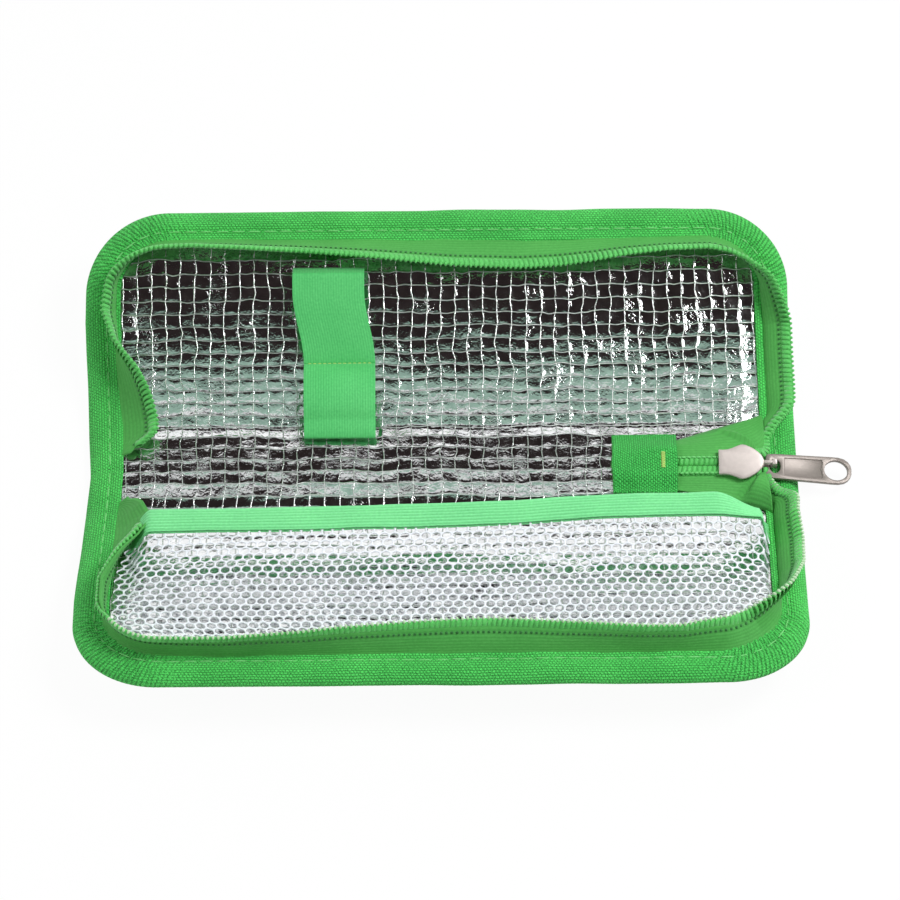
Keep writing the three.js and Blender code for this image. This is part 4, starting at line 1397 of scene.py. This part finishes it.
# Slider and pull
def plate(name, outline, low, high, bevel=0.0):
    """A flat piece cut to an outline, raised to its thickness and eased along its edges."""
    deselect()
    bpy.ops.mesh.primitive_circle_add(vertices=len(outline), radius=1.0, fill_type="NGON")
    piece = bpy.context.object
    piece.name = name
    for vertex, (x, y) in zip(piece.data.vertices, outline):
        vertex.co = (x, y, low)
    raised = {"value": (0, 0, high - low)}
    edit_all(piece, bpy.ops.mesh.extrude_region_move, TRANSFORM_OT_translate=raised)
    face_outwards(piece)
    if bevel:
        ease_edges(piece, bevel)
    return piece


def mirrored(upper):
    """Closed outline from its upper half."""
    return upper[::-1] + [(x, -half) for x, half in upper if half]


def ease_edges(piece, width, segments=2, angle=40):
    easing = piece.modifiers.new("easing", "BEVEL")
    easing.width = width
    easing.segments = segments
    easing.limit_method = "ANGLE"
    easing.angle_limit = math.radians(angle)
    finish_modifier(piece, easing)


def cut(piece, tool):
    cutting = piece.modifiers.new("cutting", "BOOLEAN")
    cutting.operation = "DIFFERENCE"
    cutting.solver = "EXACT"
    cutting.object = tool
    finish_modifier(piece, cutting)
    drop(tool)


def join(name, pieces):
    deselect()
    for piece in pieces:
        piece.select_set(True)
    bpy.context.view_layer.objects.active = pieces[0]
    bpy.ops.object.join()
    joined = bpy.context.object
    joined.name = name
    joined.data.name = name
    return joined


def settle(piece, matrix):
    """Puts a piece modelled in its own millimetres into its place in the case."""
    placed = np.array([matrix @ Vector(p) for p in mesh_points(piece)]) * MM
    piece.data.vertices.foreach_set("co", placed.ravel())
    piece.data.update()


def block(size, place):
    deselect()
    bpy.ops.mesh.primitive_cube_add(size=1, location=place)
    piece = bpy.context.object
    piece.scale = size
    bpy.ops.object.transform_apply(location=True, rotation=True, scale=True)
    return piece


CHAIN_FRAME = Matrix.Translation((0, CHAIN_Y, CHAIN_Z)) @ Matrix.Rotation(CHAIN_ROLL, 4, "X")
PLATE_IN = 1.05
PLATE_OUT = 1.95
PLATE_EASE = 0.22
# Size of the slider's post and lips along, across and up
POST = (6, 1.2, 2.4)
LIP = (5.2, 0.55, 0.8)
# The bail's three bars: size, and place from the slider's nose along and up
BAIL = [
    ((4.2, 1.0, 0.6), (1.7, 1.4)),
    ((4.2, 1.8, 0.8), (1.7, -1.5)),
    ((1.3, 1.8, 3.8), (3.1, 0)),
]
# Half outline of the slider's plates: share of the length, half width
SHIELD = [
    (0.0, 3.7), (0.08, 3.62), (0.2, 3.72), (0.3, 4.1), (0.4, 4.65), (0.48, 5.05), (0.53, 5.15), (0.6, 5.0),
    (0.7, 4.45), (0.8, 3.7), (0.88, 2.9), (0.94, 2.1), (0.98, 1.2), (1.0, 0.4),
]


def slider():
    length = SLIDER_NOSE - SLIDER_BACK
    outline = mirrored([(SLIDER_BACK + share * length, half) for share, half in SHIELD])
    top = plate("slider_top", outline, PLATE_IN, PLATE_OUT)
    bpy.ops.object.mode_set(mode="EDIT")
    bpy.ops.mesh.select_all(action="DESELECT")
    bpy.ops.object.mode_set(mode="OBJECT")
    for face in top.data.polygons:
        face.select = face.normal.z > 0.9
    bpy.ops.object.mode_set(mode="EDIT")
    bpy.ops.mesh.inset(thickness=0.9, depth=0.16)
    bpy.ops.object.mode_set(mode="OBJECT")
    ease_edges(top, PLATE_EASE, 3, 30)
    bottom = plate("slider_bottom", outline, -PLATE_OUT, -PLATE_IN, PLATE_EASE)
    post = block(POST, (SLIDER_NOSE - 3.4, 0, 0))
    ease_edges(post, 0.2)
    lips = []
    for side in (-1, 1):
        for face in (-1, 1):
            lip = block(LIP, (SLIDER_BACK + 3.0, side * 3.35, face * 0.85))
            ease_edges(lip, 0.12)
            lips.append(lip)
    bail = [block(size, (SLIDER_NOSE + x, 0, z)) for size, (x, z) in BAIL]
    for piece in bail:
        ease_edges(piece, 0.25)
    body = join("slider_shell", [top, bottom, post, *lips, *bail])
    settle(body, CHAIN_FRAME)
    body.data.materials.append(SLIDER_METAL)
    shade(body, 35)
    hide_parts("slider_body")
    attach(body, "slider")


def oval(name, x, long, wide):
    """A cutter for an oval hole at x along the pull."""
    outline = []
    for k in range(40):
        turn = 2 * math.pi * k / 40
        outline.append((x + long / 2 * math.cos(turn), wide / 2 * math.sin(turn)))
    return plate(name, outline, -2, 2)


# Half outlines of the pull and of the panel sunk in it: distance from its pivot, half width
PULL_HALF = [
    (-0.6, 1.8), (-0.5, 2.7), (-0.1, 3.4), (0.6, 3.75), (6.0, 3.9), (12.0, 4.0), (18.6, 4.15), (20.6, 4.1),
    (22.2, 3.7), (23.3, 2.95), (24.0, 2.0), (24.35, 0.9),
]
SUNK_HALF = [(4.9, 2.75), (10.0, 2.85), (15.7, 2.9), (15.9, 2.0), (15.4, 0.0)]
PULL_SKIN = 0.6
SUNK_SKIN = 0.33


def pull():
    tongue = plate("tongue", mirrored(PULL_HALF), -PULL_SKIN, PULL_SKIN)
    for face in (-1, 1):
        cut(tongue, plate("sunk_panel", mirrored(SUNK_HALF), face * SUNK_SKIN, face * 2 * PULL_SKIN))
    cut(tongue, oval("end_hole", 19.85, 6.8, 6.2))
    cut(tongue, oval("eye", 2.1, 3.3, 4.4))
    ease_edges(tongue, 0.16, 2, 35)
    tongue.name = "pull_tongue"
    tongue.data.name = "pull_tongue"
    hung = Matrix.Translation((PIVOT_X, CHAIN_Y - 0.3, CHAIN_Z - 1.0))
    settle(tongue, hung @ Matrix.Rotation(PULL_DROOP, 4, "Y") @ Matrix.Rotation(PULL_ROLL, 4, "X"))
    tongue.data.materials.append(PULL_METAL)
    shade(tongue, 35)
    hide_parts("pull_tab")
    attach(tongue, "pull")


slider()
pull()
for model in (TURN, CHAIN_STITCH, EDGE_STITCH, COIL_DOT, COIL_HEAD):
    drop(model)


# Spine layers are the inner ends of the two halves
def spine_stands():
    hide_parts("spine_outer_panel")
    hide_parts("spine_foam_pad")
    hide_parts("spine_foil_lining")


spine_stands()
